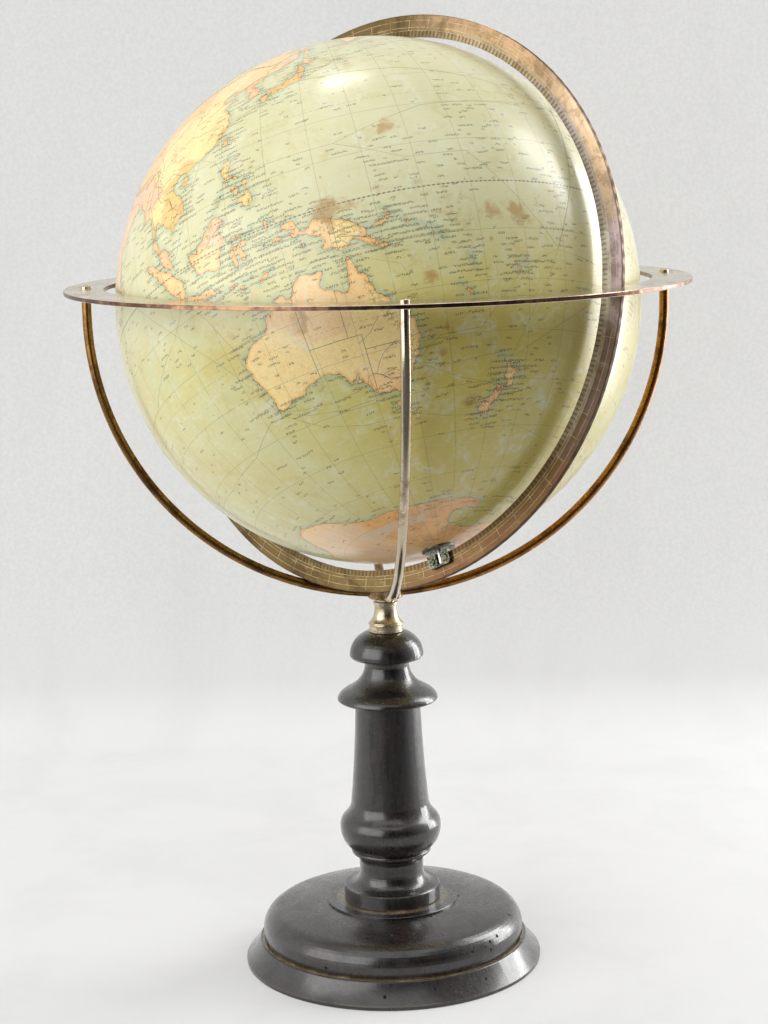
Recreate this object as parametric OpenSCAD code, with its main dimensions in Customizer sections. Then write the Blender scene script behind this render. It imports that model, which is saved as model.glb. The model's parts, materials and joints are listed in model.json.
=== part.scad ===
// Terrestrial globe on a turned stand: a ball that spins in a leaning meridian ring,
// carried by four bent rods and a flat horizon ring over an ebonised column.
// Origin: centre of the foot, on the table. +Z is up, and the meridian crosses
// the horizon ring along X, with the south pole towards +X.

/* [Globe] */
// Finished diameter of the ball, over the map
globe_d = 318.4; // [300:0.2:336]
// Thickness of the printed paper with its varnish
map_t = 0.6; // [0.4:0.1:1.2]
// Thickness of the moulded half shells
shell_t = 4.4; // [3:0.2:8]
// Width of the strip glued inside over the equator joint
seam_w = 24; // [16:1:40]
// Thickness of that strip
seam_t = 1.2; // [0.8:0.1:2]
// Diameter of the wooden post between the poles
post_d = 22; // [16:1:30]
// Diameter of the worn metal washer at each pole
washer_d = 20; // [16:0.5:24]
// Thickness of the pole washers
washer_t = 1; // [0.6:0.1:1.4]

/* [Meridian ring] */
// Clear space between the ball and the ring
meridian_gap = 4.1; // [3.4:0.1:6]
// Width of the ring's flat face
meridian_w = 13.4; // [12:0.2:17]
// Thickness of the ring
meridian_t = 3; // [2.4:0.1:4]
// How far the ring leans back out of the vertical
meridian_lean = 12.5; // [9:0.5:15]
// Angle along the ring from its lowest point to the south pole
pole_tilt = 25.5; // [20:0.5:32]

/* [Pole bearings] */
// Diameter of the pole pins
pin_d = 3.2; // [2.6:0.1:3.8]
// Length of pin gripped on the ring
pin_grip = 5.4; // [4.4:0.2:6]
// Length of pin inside its bush
pin_reach = 13; // [9:0.5:16]
// Outer diameter of the brass bushes
bush_d = 8; // [7:0.2:10]
// Length of the brass bushes
bush_l = 16; // [12:0.5:22]
// Width of the horseshoe clamp over the pin
clamp_w = 16; // [15:0.2:20]
// Length of the clamp along the pin
clamp_l = 8; // [7.6:0.2:10]
// Thickness of the clamp
clamp_t = 2.4; // [2:0.1:3]
// How far the clamp stands past the ring's inner edge
clamp_lip = 1.2; // [0.6:0.1:1.6]
// Shank diameter of the clamp screws
screw_d = 2.4; // [2:0.1:2.8]
// Head diameter of the clamp screws
screw_head_d = 4.2; // [3.8:0.1:4.6]
// Head height of the clamp screws
screw_head_h = 0.9; // [0.7:0.1:1.4]

/* [Horizon ring] */
// Clear space between the ball and the ring
horizon_gap = 6.6; // [5:0.2:9]
// Width of the ring's flat face
horizon_w = 23.9; // [21:0.1:28]
// Thickness of the ring
horizon_t = 2.5; // [2:0.1:3.5]
// Height of the ring's top over the middle of the ball
horizon_rise = 13.7; // [9:0.1:18]
// Side and end clearance of the meridian in its two notches
notch_play = 0.6; // [0.4:0.1:1.2]

/* [Cradle arms] */
// Diameter of the bent rods
rod_d = 5.7; // [5:0.1:6.4]
// Distance from the horizon ring's inner edge to the rods' middle
pin_inset = 10.7; // [9:0.1:14]
// Bearing of the first rod from +X
arm_turn = 45; // [42:1:48]
// Diameter of the turned-down rod ends
spigot_d = 4; // [3.4:0.1:4.4]
// Length of the lower rod end inside the hub
spigot_l = 5.4; // [4.5:0.1:5.8]
// Depth of the round seat that takes each rod in the hub's side
rod_seat = 0.9; // [0.7:0.1:1.2]
// Diameter of the round nuts over the horizon ring
nut_d = 6; // [5.6:0.1:7]
// Height of those nuts
nut_h = 1.8; // [1.4:0.1:2.6]

/* [Hub and ferrule] */
// Diameter of the hub
hub_d = 21.8; // [21:0.2:26]
// Height of the hub
hub_h = 7.4; // [7:0.1:10]
// Height of the rods' middle over the hub's underside
hub_rod_h = 3.7; // [3.5:0.1:3.9]
// Height of the turned ferrule
ferrule_h = 21; // [19:0.5:26]
// Diameter of the ferrule's foot
ferrule_d = 21.8; // [20:0.2:23]
// Diameter of the ferrule's neck
ferrule_neck_d = 14; // [12:0.2:16]
// Diameter of the threaded stud through ferrule and hub
stud_d = 6; // [5:0.2:7]
// Length of the stud inside the column
stud_l = 24; // [16:1:34]
// Brass left in the hub over the stud's end
stud_cover = 2; // [1.5:0.1:2.6]

/* [Column] */
// Diameter of the column's foot
foot_d = 60.8; // [56:0.2:66]
// Height of the foot's straight rim
foot_h = 9; // [7:0.5:12]
// Diameter of the waist over the foot
waist_d = 40.4; // [38:0.2:44]
// Height of the hollow cove between foot and waist
cove_h = 11.2; // [9:0.2:14]
// Height of the waist up to the bead
waist_h = 9.7; // [7:0.1:12]
// Diameter of the small bead under the bulge
bead_d = 50.4; // [48:0.2:53]
// Height of that bead
bead_h = 3.2; // [2.6:0.1:4]
// Height of the hollow step between bead and bulge
step_h = 2.8; // [2:0.1:4]
// Greatest diameter of the bulge
bulge_d = 64; // [60:0.2:68]
// Height of the bulge under its widest line
bulge_under_h = 12; // [10:0.2:14]
// Height of the bulge over its widest line
bulge_over_h = 8.5; // [7:0.1:11]
// Diameter of the shaft at its lower end
shaft_low_d = 49.4; // [46:0.2:51]
// Diameter of the shaft at its upper end
shaft_top_d = 40.8; // [38:0.2:44]
// Height of the plain shaft
shaft_h = 73.3; // [60:0.1:110]
// Diameter of the spreading collar
collar_d = 63; // [58:0.2:68]
// Height of the collar
collar_h = 21.9; // [19:0.5:26]
// Diameter of the neck under the cap
neck_d = 28; // [26:0.2:32]
// Height of that neck
neck_h = 5.4; // [4:0.2:8]
// Diameter of the mushroom cap
cap_d = 46.4; // [43:0.2:50]
// Height of the cap
cap_h = 17; // [15.5:0.1:20]
// Diameter of the tenon that is glued into the base
tenon_d = 34; // [28:1:38]
// Length of the tenon
tenon_l = 18; // [12:0.5:22]

/* [Base] */
// How far the sloping skirt stands out past the plinth's top
flare_w = 9; // [7:0.1:11]
// Height of the base's upright edge
edge_h = 2.4; // [1.5:0.1:4]
// How far the skirt is hollowed
flare_sag = 0.6; // [0:0.1:1.2]
// Width of the plinth's lip round the groove
lip_w = 2.6; // [1.8:0.1:4]
// Height of the plinth's lip
plinth_h = 14.6; // [13:0.1:18]
// How deep the domed board sits inside the lip
lip_h = 2.9; // [2:0.1:4]
// Width of the groove round the domed board
groove_w = 1.3; // [0.8:0.1:2]
// Greatest diameter of the domed board
dome_d = 165.4; // [154:0.2:178]
// How far the domed board is drawn in under its widest line
dome_undercut = 1.6; // [0.8:0.1:2.4]
// Height of the domed board's widest line over its underside
dome_bulge_h = 9.2; // [8.4:0.1:11]
// Radius of the domed board's round side
dome_round = 13.5; // [11:0.1:14.5]
// Height of the domed board up to the seat
dome_h = 26.2; // [25:0.1:32]
// Diameter of the raised seat under the column
seat_d = 83; // [76:0.5:90]
// Height of that seat
seat_h = 1.2; // [0.6:0.1:1.6]
// Diameter of the hollow turned out of the underside
hollow_d = 140; // [110:1:150]
// Depth of that hollow
hollow_h = 3; // [2:0.1:4]
// Shank diameter of the iron screw from below
bolt_d = 8; // [6:0.2:10]
// Length of that screw inside the column
bolt_grip = 34; // [20:1:44]
// Head diameter of that screw
bolt_head_d = 18; // [15:0.5:22]
// Head height of that screw
bolt_head_h = 4; // [3.6:0.1:5]
// How far the screw's head stays over the table
bolt_lift = 1.4; // [1:0.1:2.4]

/* [Fits] */
// Radial clearance of the pole pins in their bushes
running_fit = 0.06; // [0.03:0.01:0.1]
// Clearance of pieces that are glued, screwed or riveted together
fixed_fit = 0.05; // [0.02:0.01:0.1]
// Gap between the meridian ring and the two rods that it lies on
cradle_gap = 0.3; // [0.2:0.05:0.6]
// Clearance round the pole pins where they pass the map and the post
pin_clear = 0.8; // [0.5:0.1:1.2]

/* [Hidden] */
$fn = 120;
cut = 1;
edge = 0.6;
fine_edge = 0.3;
steps = 12;

WOOD = [0.10, 0.085, 0.08];
RAW_WOOD = [0.66, 0.52, 0.36];
BRASS = [0.60, 0.46, 0.26];
NICKEL = [0.78, 0.74, 0.67];
IRON = [0.30, 0.28, 0.26];
VERDIGRIS = [0.20, 0.24, 0.20];
BOARD = [0.72, 0.64, 0.50];
MAP = [0.79, 0.80, 0.64];

// Radii of the ball and of what surrounds it
globe_r = globe_d / 2;
shell_r = globe_r - map_t - fixed_fit;
shell_ir = shell_r - shell_t;
meridian_ir = globe_r + meridian_gap;
meridian_or = meridian_ir + meridian_w;
horizon_ir = globe_r + horizon_gap;
horizon_or = horizon_ir + horizon_w;
arm_r = horizon_ir + pin_inset;

// The rods' bend is lowered until the two that cross the meridian carry its rim
ARM_BEARINGS = [-arm_turn, arm_turn, 180 - arm_turn, 180 + arm_turn];
cross_a = atan(tan(meridian_lean) / sin(arm_turn));
cross_r = meridian_or + cradle_gap + rod_d / 2;
arm_drop = cross_r * cos(cross_a) - sqrt(pow(arm_r, 2) - pow(cross_r * sin(cross_a), 2));
arm_start = asin((hub_d / 2 - rod_seat) / arm_r);

// Radii of the base's two boards
lip_ir = dome_d / 2 - dome_undercut + groove_w;
plinth_r = lip_ir + lip_w;
base_r = plinth_r + flare_w;

// Heights from the table up
dome_z = plinth_h - lip_h;
seat_z = dome_z + dome_h + seat_h;
tenon_z = seat_z - tenon_l;
foot_z = seat_z + foot_h;
waist_z = foot_z + cove_h;
bead_z = waist_z + waist_h;
bulge_z = bead_z + bead_h + step_h + bulge_under_h;
shaft_z = bulge_z + bulge_over_h;
collar_z = shaft_z + shaft_h;
neck_z = collar_z + collar_h;
cap_z = neck_z + neck_h;
ferrule_z = cap_z + cap_h;
hub_z = ferrule_z + ferrule_h;
rod_z = hub_z + hub_rod_h;
arm_z = rod_z + arm_r * cos(arm_start);
globe_z = arm_z + arm_drop;
horizon_z = globe_z + horizon_rise;

// Outline helpers: each leaves out its own first point, on which the stretch before it ends
function arc(c, r, a0, a1) =
    [for (i = [1 : steps]) let (a = a0 + (a1 - a0) * i / steps) c + r * [cos(a), sin(a)]];
function sweep(p, q, s) =
    [for (i = [1 : steps]) let (t = i / steps) pow(1 - t, 2) * p + 2 * t * (1 - t) * q + t * t * s];

module turned(outline) {
    rotate_extrude() polygon(outline);
}

module bore(r, from, to) {
    translate([0, 0, from]) cylinder(r = r, h = to - from);
}

// The meridian ring's own frame: its graduated face is the plane y = 0, its back lies at +y
module meridian_frame() {
    translate([0, 0, globe_z]) rotate([-meridian_lean, 0, 0]) children();
}

// The ball's own frame: z is the polar axis, north up
module polar_frame() {
    meridian_frame() rotate([0, -pole_tilt, 0]) children();
}

// A frame at the middle of the ball whose z points out through one pole
module north() {
    polar_frame() children();
}

module south() {
    polar_frame() rotate([0, 180, 0]) children();
}

// Lower board of the base: upright edge, sloping skirt and a lip round the domed board
module base_plinth() {
    skirt_start = [base_r, edge_h];
    skirt_end = [plinth_r, plinth_h - fine_edge];
    skirt_mid = (skirt_start + skirt_end) / 2 - [flare_sag, flare_sag];
    color(WOOD) difference() {
        turned(concat(
            [[0, hollow_h], [hollow_d / 2, hollow_h], [hollow_d / 2, 0], [base_r - edge, 0],
             [base_r, edge], skirt_start],
            sweep(skirt_start, skirt_mid, skirt_end),
            [[plinth_r - fine_edge, plinth_h], [lip_ir, plinth_h], [lip_ir, dome_z], [0, dome_z]]
        ));
        bore(bolt_d / 2 + fixed_fit, 0, plinth_h);
        bore(bolt_head_d / 2 + edge, -cut, bolt_lift + bolt_head_h);
    }
}

// Upper board of the base: drawn-in foot, round side, sloping top and the column's raised seat
module base_dome() {
    foot_r = dome_d / 2 - dome_undercut;
    seat_r = seat_d / 2;
    under_a = acos(1 - dome_undercut / dome_round);
    over_a = 78;
    centre = [dome_d / 2 - dome_round, dome_z + dome_bulge_h];
    slope_start = centre + dome_round * [cos(over_a), sin(over_a)];
    slope_run = (slope_start.x - seat_r) / 2;
    slope_mid = slope_start + slope_run * [-1, 1 / tan(over_a)];
    color(WOOD) difference() {
        turned(concat(
            [[0, dome_z], [foot_r - edge, dome_z], [foot_r, dome_z + edge],
             [foot_r, centre.y - dome_round * sin(under_a)]],
            arc(centre, dome_round, -under_a, over_a),
            sweep(slope_start, slope_mid, [seat_r, seat_z - seat_h]),
            [[seat_r, seat_z - fine_edge], [seat_r - fine_edge, seat_z], [0, seat_z]]
        ));
        bore(bolt_d / 2 + fixed_fit, 0, seat_z);
        bore(tenon_d / 2 + fixed_fit, tenon_z - fixed_fit, seat_z + cut);
    }
}

// Iron screw that holds the column down from below
module base_bolt() {
    head_r = bolt_head_d / 2;
    top = tenon_z + bolt_grip;
    shoulder = bolt_lift + bolt_head_h;
    slot_w = 1.6;
    slot_h = 1.5;
    color(IRON) difference() {
        turned([
            [0, bolt_lift], [head_r - edge, bolt_lift], [head_r, bolt_lift + edge], [head_r, shoulder],
            [bolt_d / 2, shoulder], [bolt_d / 2, top - bolt_d / 2], [0, top]
        ]);
        translate([-head_r - cut, -slot_w / 2, bolt_lift - cut])
            cube([bolt_head_d + 2 * cut, slot_w, cut + slot_h]);
    }
}

// Turned column in one piece: foot, cove, waist, bead, bulge, tapered shaft, collar, neck and cap
module column() {
    foot_r = foot_d / 2;
    waist_r = waist_d / 2;
    bead_r = bead_d / 2;
    bulge_r = bulge_d / 2;
    low_r = shaft_low_d / 2;
    top_r = shaft_top_d / 2;
    collar_r = collar_d / 2;
    neck_r = neck_d / 2;
    cap_r = cap_d / 2;
    under_r = 20;
    over_r = 10;
    under_a = asin(bulge_under_h / under_r);
    over_a = 45;
    bulge_foot = [bulge_r - under_r + under_r * cos(under_a), bulge_z - bulge_under_h];
    cove_start = [foot_r - 1.6, foot_z];
    waist_start = [waist_r, waist_z];
    bead_start = [bead_r - bead_h / 2, bead_z];
    bulge_top = [bulge_r - over_r + over_r * cos(over_a), bulge_z + over_r * sin(over_a)];
    shaft_start = [low_r, shaft_z + 6.5];
    fillet_r = low_r + 0.6;
    fillet_mid = [fillet_r, min(bulge_top.y + bulge_top.x - fillet_r, shaft_start.y - 1)];
    shaft_end = [top_r, collar_z];
    lip_start = [collar_r, collar_z + 1.2];
    lip_mid = [(collar_r + neck_r) / 2 + 3, collar_z + collar_h / 3];
    neck_start = [neck_r, neck_z];
    cap_edge = [cap_r, cap_z + 1.4];
    crown_r = cap_h - 1.4;
    color(WOOD) difference() {
        turned(concat(
            [[0, tenon_z], [tenon_d / 2 - edge, tenon_z], [tenon_d / 2, tenon_z + edge],
             [tenon_d / 2, seat_z], [foot_r - edge, seat_z], [foot_r, seat_z + edge],
             [foot_r, foot_z - edge], [foot_r - edge, foot_z], cove_start],
            sweep(cove_start, [waist_r, foot_z + 0.8], waist_start),
            [[waist_r + 0.2, waist_z + waist_h / 2]],
            sweep([waist_r + 0.2, waist_z + waist_h / 2], [waist_r + 0.6, bead_z - 1], bead_start),
            arc([bead_r - bead_h / 2, bead_z + bead_h / 2], bead_h / 2, -90, 60),
            [bulge_foot],
            arc([bulge_r - under_r, bulge_z], under_r, -under_a, 0),
            arc([bulge_r - over_r, bulge_z], over_r, 0, over_a),
            sweep(bulge_top, fillet_mid, shaft_start),
            sweep(shaft_start, [top_r + 1.2, shaft_z + shaft_h / 2], shaft_end),
            [[collar_r - edge, collar_z], [collar_r, collar_z + edge], lip_start],
            sweep(lip_start, [collar_r - 0.5, lip_mid.y - 3], lip_mid),
            sweep(lip_mid, [neck_r + 1, lip_mid.y + 5.2], neck_start),
            [[neck_r + 0.3, cap_z - edge], [neck_r + 0.8, cap_z], [cap_r - 1, cap_z], cap_edge],
            arc([cap_r - crown_r, cap_edge.y], crown_r, 0, 90),
            [[0, ferrule_z]]
        ));
        bore(bolt_d / 2 + fixed_fit, tenon_z - cut, tenon_z + bolt_grip + cut);
        bore(stud_d / 2 + fixed_fit, ferrule_z - stud_l - cut, ferrule_z + cut);
    }
}

// Nickelled bell between the column's cap and the hub
module ferrule() {
    r = ferrule_d / 2;
    throat_r = ferrule_neck_d / 2;
    rim_h = 0.9;
    collar_bead_z = ferrule_z + 4.6;
    bell_start = [r - 0.6, collar_bead_z + 1];
    bell_end = [throat_r, hub_z - 6.2];
    color(NICKEL) difference() {
        turned(concat(
            [[0, ferrule_z], [r, ferrule_z], [r, ferrule_z + rim_h], [r - 0.5, ferrule_z + rim_h + 0.4],
             [r - 0.5, collar_bead_z - 0.9]],
            arc([r - 0.6, collar_bead_z], 0.7, -80, 80),
            [bell_start],
            sweep(bell_start, [throat_r, collar_bead_z + 4], bell_end),
            [[throat_r + 0.1, hub_z - 4], [throat_r + 0.6, hub_z - 3.6], [throat_r + 0.6, hub_z - 2.5],
             [throat_r - 0.8, hub_z - 2], [throat_r - 0.8, hub_z], [0, hub_z]]
        ));
        bore(stud_d / 2 + fixed_fit, ferrule_z - cut, hub_z + cut);
    }
}

// Threaded iron stud that joins column, ferrule and hub
module ferrule_stud() {
    bottom = ferrule_z - stud_l;
    top = hub_z + hub_h - stud_cover;
    stud_r = stud_d / 2;
    color(IRON) turned([
        [0, bottom], [stud_r - edge, bottom], [stud_r, bottom + edge], [stud_r, top - edge],
        [stud_r - edge, top], [0, top]
    ]);
}

// Brass collar that takes the four rods in round seats in its side
module hub() {
    r = hub_d / 2;
    color(BRASS) difference() {
        turned([
            [0, hub_z], [r - edge, hub_z], [r, hub_z + edge], [r, hub_z + hub_h - edge],
            [r - edge, hub_z + hub_h], [0, hub_z + hub_h]
        ]);
        bore(stud_d / 2 + fixed_fit, hub_z - cut, hub_z + hub_h - stud_cover + fixed_fit);
        for (bearing = ARM_BEARINGS) rod_foot(bearing) {
            translate([0, 0, -spigot_l - fixed_fit])
                cylinder(d = spigot_d + 2 * fixed_fit, h = spigot_l + cut);
            cylinder(d = rod_d + 2 * fixed_fit, h = rod_d);
        }
    }
}

// A frame at the inner end of one rod, whose z runs out along the rod
module rod_foot(bearing) {
    rotate([0, 0, bearing]) translate([0, 0, arm_z]) rotate([90, 0, 0]) rotate([0, 0, arm_start - 90])
        translate([arm_r, 0, 0]) rotate([-90, 0, 0]) children();
}

// One bent rod of the cradle, with a turned-down end in the hub and one through the horizon ring.
// Its straight part is a hair thinner than the bend, so that its foot lies inside the bend.
module arm(bearing) {
    rotate([0, 0, bearing]) {
        translate([0, 0, arm_z]) rotate([90, 0, 0]) rotate([0, 0, arm_start - 90])
            rotate_extrude(angle = 90 - arm_start) translate([arm_r, 0]) circle(d = rod_d);
        translate([arm_r, 0, arm_z - cut])
            cylinder(d = rod_d - fixed_fit, h = horizon_z - horizon_t - arm_z + cut);
        translate([arm_r, 0, horizon_z - horizon_t - cut])
            cylinder(d = spigot_d, h = cut + horizon_t + nut_h - fine_edge);
    }
    rod_foot(bearing) translate([0, 0, -spigot_l]) cylinder(d = spigot_d, h = spigot_l + cut);
}

module arm_front() {
    color(NICKEL) arm(ARM_BEARINGS[0]);
}

module arm_right() {
    color([0.62, 0.40, 0.22]) arm(ARM_BEARINGS[1]);
}

module arm_rear() {
    color(BRASS) arm(ARM_BEARINGS[2]);
}

module arm_left() {
    color(BRASS) arm(ARM_BEARINGS[3]);
}

// Round nuts on the rods' upper ends
module arm_nuts() {
    r = nut_d / 2;
    color(NICKEL) for (bearing = ARM_BEARINGS) rotate([0, 0, bearing])
        translate([arm_r, 0, horizon_z]) difference() {
            turned([[0, 0], [r, 0], [r, nut_h - fine_edge], [r - fine_edge, nut_h], [0, nut_h]]);
            bore(spigot_d / 2 + fixed_fit, -cut, nut_h + cut);
        }
}

// Flat ring round the ball's waist, notched for the meridian ring on both sides
module horizon_ring() {
    low_y = (horizon_rise - horizon_t) * tan(meridian_lean) - notch_play;
    high_y = horizon_rise * tan(meridian_lean) + meridian_t / cos(meridian_lean) + notch_play;
    reach = meridian_or + notch_play;
    color(NICKEL) difference() {
        translate([0, 0, horizon_z - horizon_t]) turned([
            [horizon_ir, 0], [horizon_or - fine_edge, 0], [horizon_or, fine_edge],
            [horizon_or, horizon_t - fine_edge], [horizon_or - fine_edge, horizon_t],
            [horizon_ir, horizon_t]
        ]);
        for (turn = [0, 180]) mirror([turn / 180, 0, 0])
            translate([horizon_ir - cut, low_y, horizon_z - horizon_t - cut])
                cube([reach - horizon_ir + cut, high_y - low_y, horizon_t + 2 * cut]);
        for (bearing = ARM_BEARINGS) rotate([0, 0, bearing]) translate([arm_r, 0, 0])
            bore(spigot_d / 2 + fixed_fit, horizon_z - horizon_t - cut, horizon_z + cut);
    }
}

// Graduated ring that holds the two pole pins in the plane of its front face
module meridian_ring() {
    color(BRASS) difference() {
        meridian_frame() rotate([-90, 0, 0]) turned([
            [meridian_ir, 0], [meridian_or - fine_edge, 0], [meridian_or, fine_edge],
            [meridian_or, meridian_t - fine_edge], [meridian_or - fine_edge, meridian_t],
            [meridian_ir, meridian_t]
        ]);
        north() ring_cuts();
        south() ring_cuts();
    }
}

// Groove of one pole pin and the holes of its clamp screws
module ring_cuts() {
    bore(pin_d / 2 + fixed_fit, meridian_ir - 3 * cut, meridian_ir + pin_grip + fixed_fit);
    clamp_holes(screw_d / 2 + fixed_fit);
}

// Both screw positions of a clamp, as rods of one radius through clamp and ring
module clamp_holes(r) {
    for (side = [-1, 1]) translate([side * screw_x(), 0, clamp_mid()])
        rotate([90, 0, 0]) translate([0, 0, -meridian_t - cut])
            cylinder(r = r, h = meridian_t + clamp_t + 2 * cut);
}

function screw_x() = (clamp_w + pin_d) / 4;
function clamp_mid() = meridian_ir - clamp_lip + clamp_l / 2;

// Horseshoe clamp on the ring's front face, open towards the ball
module clamp() {
    half = clamp_w / 2;
    low = meridian_ir - clamp_lip;
    high = low + clamp_l;
    slot = pin_d / 2 + fixed_fit;
    slot_end = meridian_ir + pin_grip + fixed_fit;
    difference() {
        rotate([90, 0, 0]) linear_extrude(clamp_t) polygon([
            [-half, low], [-slot, low], [-slot, slot_end], [slot, slot_end], [slot, low], [half, low],
            [half, high - 1.5], [half - 1.5, high], [1.5 - half, high], [-half, high - 1.5]
        ]);
        clamp_holes(screw_d / 2 + fixed_fit);
    }
}

module south_clamp() {
    color(VERDIGRIS) south() clamp();
}

module north_clamp() {
    color(VERDIGRIS) north() clamp();
}

// The two slotted screws of one clamp
module clamp_screws() {
    head_r = screw_head_d / 2;
    slot_w = 0.6;
    slot_h = 0.5;
    for (side = [-1, 1]) translate([side * screw_x(), 0, clamp_mid()]) rotate([90, 0, 0]) difference() {
        turned([
            [0, -meridian_t], [screw_d / 2, -meridian_t], [screw_d / 2, clamp_t], [head_r, clamp_t],
            [head_r, clamp_t + screw_head_h - fine_edge], [head_r - fine_edge, clamp_t + screw_head_h],
            [0, clamp_t + screw_head_h]
        ]);
        rotate([0, 0, 35 * side]) translate([-head_r - cut, -slot_w / 2, clamp_t + screw_head_h - slot_h])
            cube([screw_head_d + 2 * cut, slot_w, cut]);
    }
}

module south_clamp_screws() {
    color(NICKEL) south() clamp_screws();
}

module north_clamp_screws() {
    color(NICKEL) north() clamp_screws();
}

// Steel pin on which one pole turns
module pole_pin() {
    r = pin_d / 2;
    tip = globe_r - pin_reach;
    end = meridian_ir + pin_grip;
    turned([
        [0, tip], [r - edge, tip], [r, tip + edge], [r, end - fine_edge], [r - fine_edge, end], [0, end]
    ]);
}

module south_pin() {
    color(NICKEL) south() pole_pin();
}

module north_pin() {
    color(NICKEL) north() pole_pin();
}

// Dished washer on the map round the pin
module pole_washer() {
    difference() {
        intersection() {
            sphere(r = globe_r + washer_t);
            bore(washer_d / 2, globe_r / 2, globe_r + 2 * washer_t);
        }
        sphere(r = globe_r + fixed_fit);
        bore(pin_d / 2 + running_fit, 0, globe_r + 3 * washer_t);
    }
}

module south_washer() {
    color(VERDIGRIS) south() pole_washer();
}

module north_washer() {
    color(VERDIGRIS) north() pole_washer();
}

// Brass bush in the post's end, bored for the pin
module pole_bush() {
    difference() {
        bore(bush_d / 2, globe_r - bush_l, globe_r - map_t - 2 * fixed_fit);
        bore(pin_d / 2 + running_fit, globe_r - bush_l - cut, globe_r);
    }
}

module south_bush() {
    color(BRASS) south() pole_bush();
}

module north_bush() {
    color(BRASS) north() pole_bush();
}

// Turned wooden post between the poles, bored at both ends for bush and pin
module axis_post() {
    r = post_d / 2;
    end = sqrt(pow(shell_ir - fixed_fit, 2) - r * r);
    color(RAW_WOOD) polar_frame() difference() {
        bore(r, -end, end);
        for (turn = [0, 180]) rotate([0, turn, 0]) {
            bore(bush_d / 2 + fixed_fit, globe_r - bush_l - fixed_fit, globe_r);
            bore(pin_d / 2 + pin_clear, globe_r - pin_reach - 2 * cut, globe_r);
        }
    }
}

// One moulded half of the ball, on the frame's +z side
module half_shell() {
    difference() {
        sphere(r = shell_r);
        sphere(r = shell_ir);
        translate([-globe_r, -globe_r, -globe_d]) cube([globe_d, globe_d, globe_d]);
        bore(bush_d / 2 + fixed_fit, 0, globe_r);
    }
}

module shell_south() {
    color(BOARD) south() half_shell();
}

module shell_north() {
    color(BOARD) north() half_shell();
}

// Strip glued inside the ball over the joint of its halves
module seam_strip() {
    color(BOARD) polar_frame() difference() {
        intersection() {
            sphere(r = shell_ir - fixed_fit);
            bore(globe_r, -seam_w / 2, seam_w / 2);
        }
        sphere(r = shell_ir - fixed_fit - seam_t);
    }
}

// Printed and varnished paper skin of the ball
module map_gores() {
    color(MAP) polar_frame() difference() {
        sphere(r = globe_r);
        sphere(r = globe_r - map_t);
        bore(pin_d / 2 + pin_clear, -globe_d, globe_d);
    }
}

base_plinth();
base_dome();
base_bolt();
column();
ferrule();
ferrule_stud();
hub();
arm_front();
arm_right();
arm_rear();
arm_left();
arm_nuts();
horizon_ring();
meridian_ring();
south_clamp();
north_clamp();
south_clamp_screws();
north_clamp_screws();
south_pin();
north_pin();
south_washer();
north_washer();
south_bush();
north_bush();
axis_post();
shell_south();
shell_north();
seam_strip();
map_gores();
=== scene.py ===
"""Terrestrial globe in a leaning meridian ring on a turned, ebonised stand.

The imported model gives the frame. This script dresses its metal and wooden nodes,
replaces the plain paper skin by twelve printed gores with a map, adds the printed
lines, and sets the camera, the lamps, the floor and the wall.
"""

from __future__ import annotations

import json
import logging
import math
from dataclasses import dataclass, field
from enum import Enum
from typing import Protocol

import bmesh
import bpy
import numpy as np
from mathutils import Matrix, Vector

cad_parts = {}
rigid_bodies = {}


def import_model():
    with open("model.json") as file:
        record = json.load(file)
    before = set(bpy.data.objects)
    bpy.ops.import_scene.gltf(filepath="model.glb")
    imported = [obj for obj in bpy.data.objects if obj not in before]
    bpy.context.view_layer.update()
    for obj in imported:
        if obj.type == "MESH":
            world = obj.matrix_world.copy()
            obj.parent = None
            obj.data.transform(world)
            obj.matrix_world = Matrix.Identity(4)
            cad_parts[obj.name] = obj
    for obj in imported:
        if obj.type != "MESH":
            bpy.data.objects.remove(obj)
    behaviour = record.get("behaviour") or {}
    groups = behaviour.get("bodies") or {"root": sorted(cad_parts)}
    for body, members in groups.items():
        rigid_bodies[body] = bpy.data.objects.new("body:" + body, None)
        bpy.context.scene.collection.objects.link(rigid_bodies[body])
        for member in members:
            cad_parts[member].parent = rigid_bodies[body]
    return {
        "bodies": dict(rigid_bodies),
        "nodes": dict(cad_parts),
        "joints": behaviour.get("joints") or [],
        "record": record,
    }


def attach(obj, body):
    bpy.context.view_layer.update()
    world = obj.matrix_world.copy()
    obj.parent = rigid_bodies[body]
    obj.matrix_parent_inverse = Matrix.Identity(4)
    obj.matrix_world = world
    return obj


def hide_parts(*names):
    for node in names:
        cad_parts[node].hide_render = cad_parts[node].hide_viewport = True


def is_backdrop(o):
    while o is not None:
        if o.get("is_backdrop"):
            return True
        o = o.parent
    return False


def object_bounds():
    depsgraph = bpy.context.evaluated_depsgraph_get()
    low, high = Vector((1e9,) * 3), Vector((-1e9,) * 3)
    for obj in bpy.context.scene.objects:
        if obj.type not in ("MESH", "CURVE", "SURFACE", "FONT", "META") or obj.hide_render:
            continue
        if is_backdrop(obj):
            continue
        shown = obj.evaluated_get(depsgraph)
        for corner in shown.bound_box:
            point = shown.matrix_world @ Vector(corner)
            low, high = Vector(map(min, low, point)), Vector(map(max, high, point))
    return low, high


LOG = logging.getLogger("globe")

MM = 0.001
NEAR = 1e-6
BALL_R = 159.2 * MM
BALL_Z = 417.531 * MM
MERIDIAN_IR = 163.3 * MM
# Lean of the meridian ring, and angle from its lowest point to the south pole
LEAN = math.radians(12.5)
POLE_TILT = math.radians(25.5)
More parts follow.
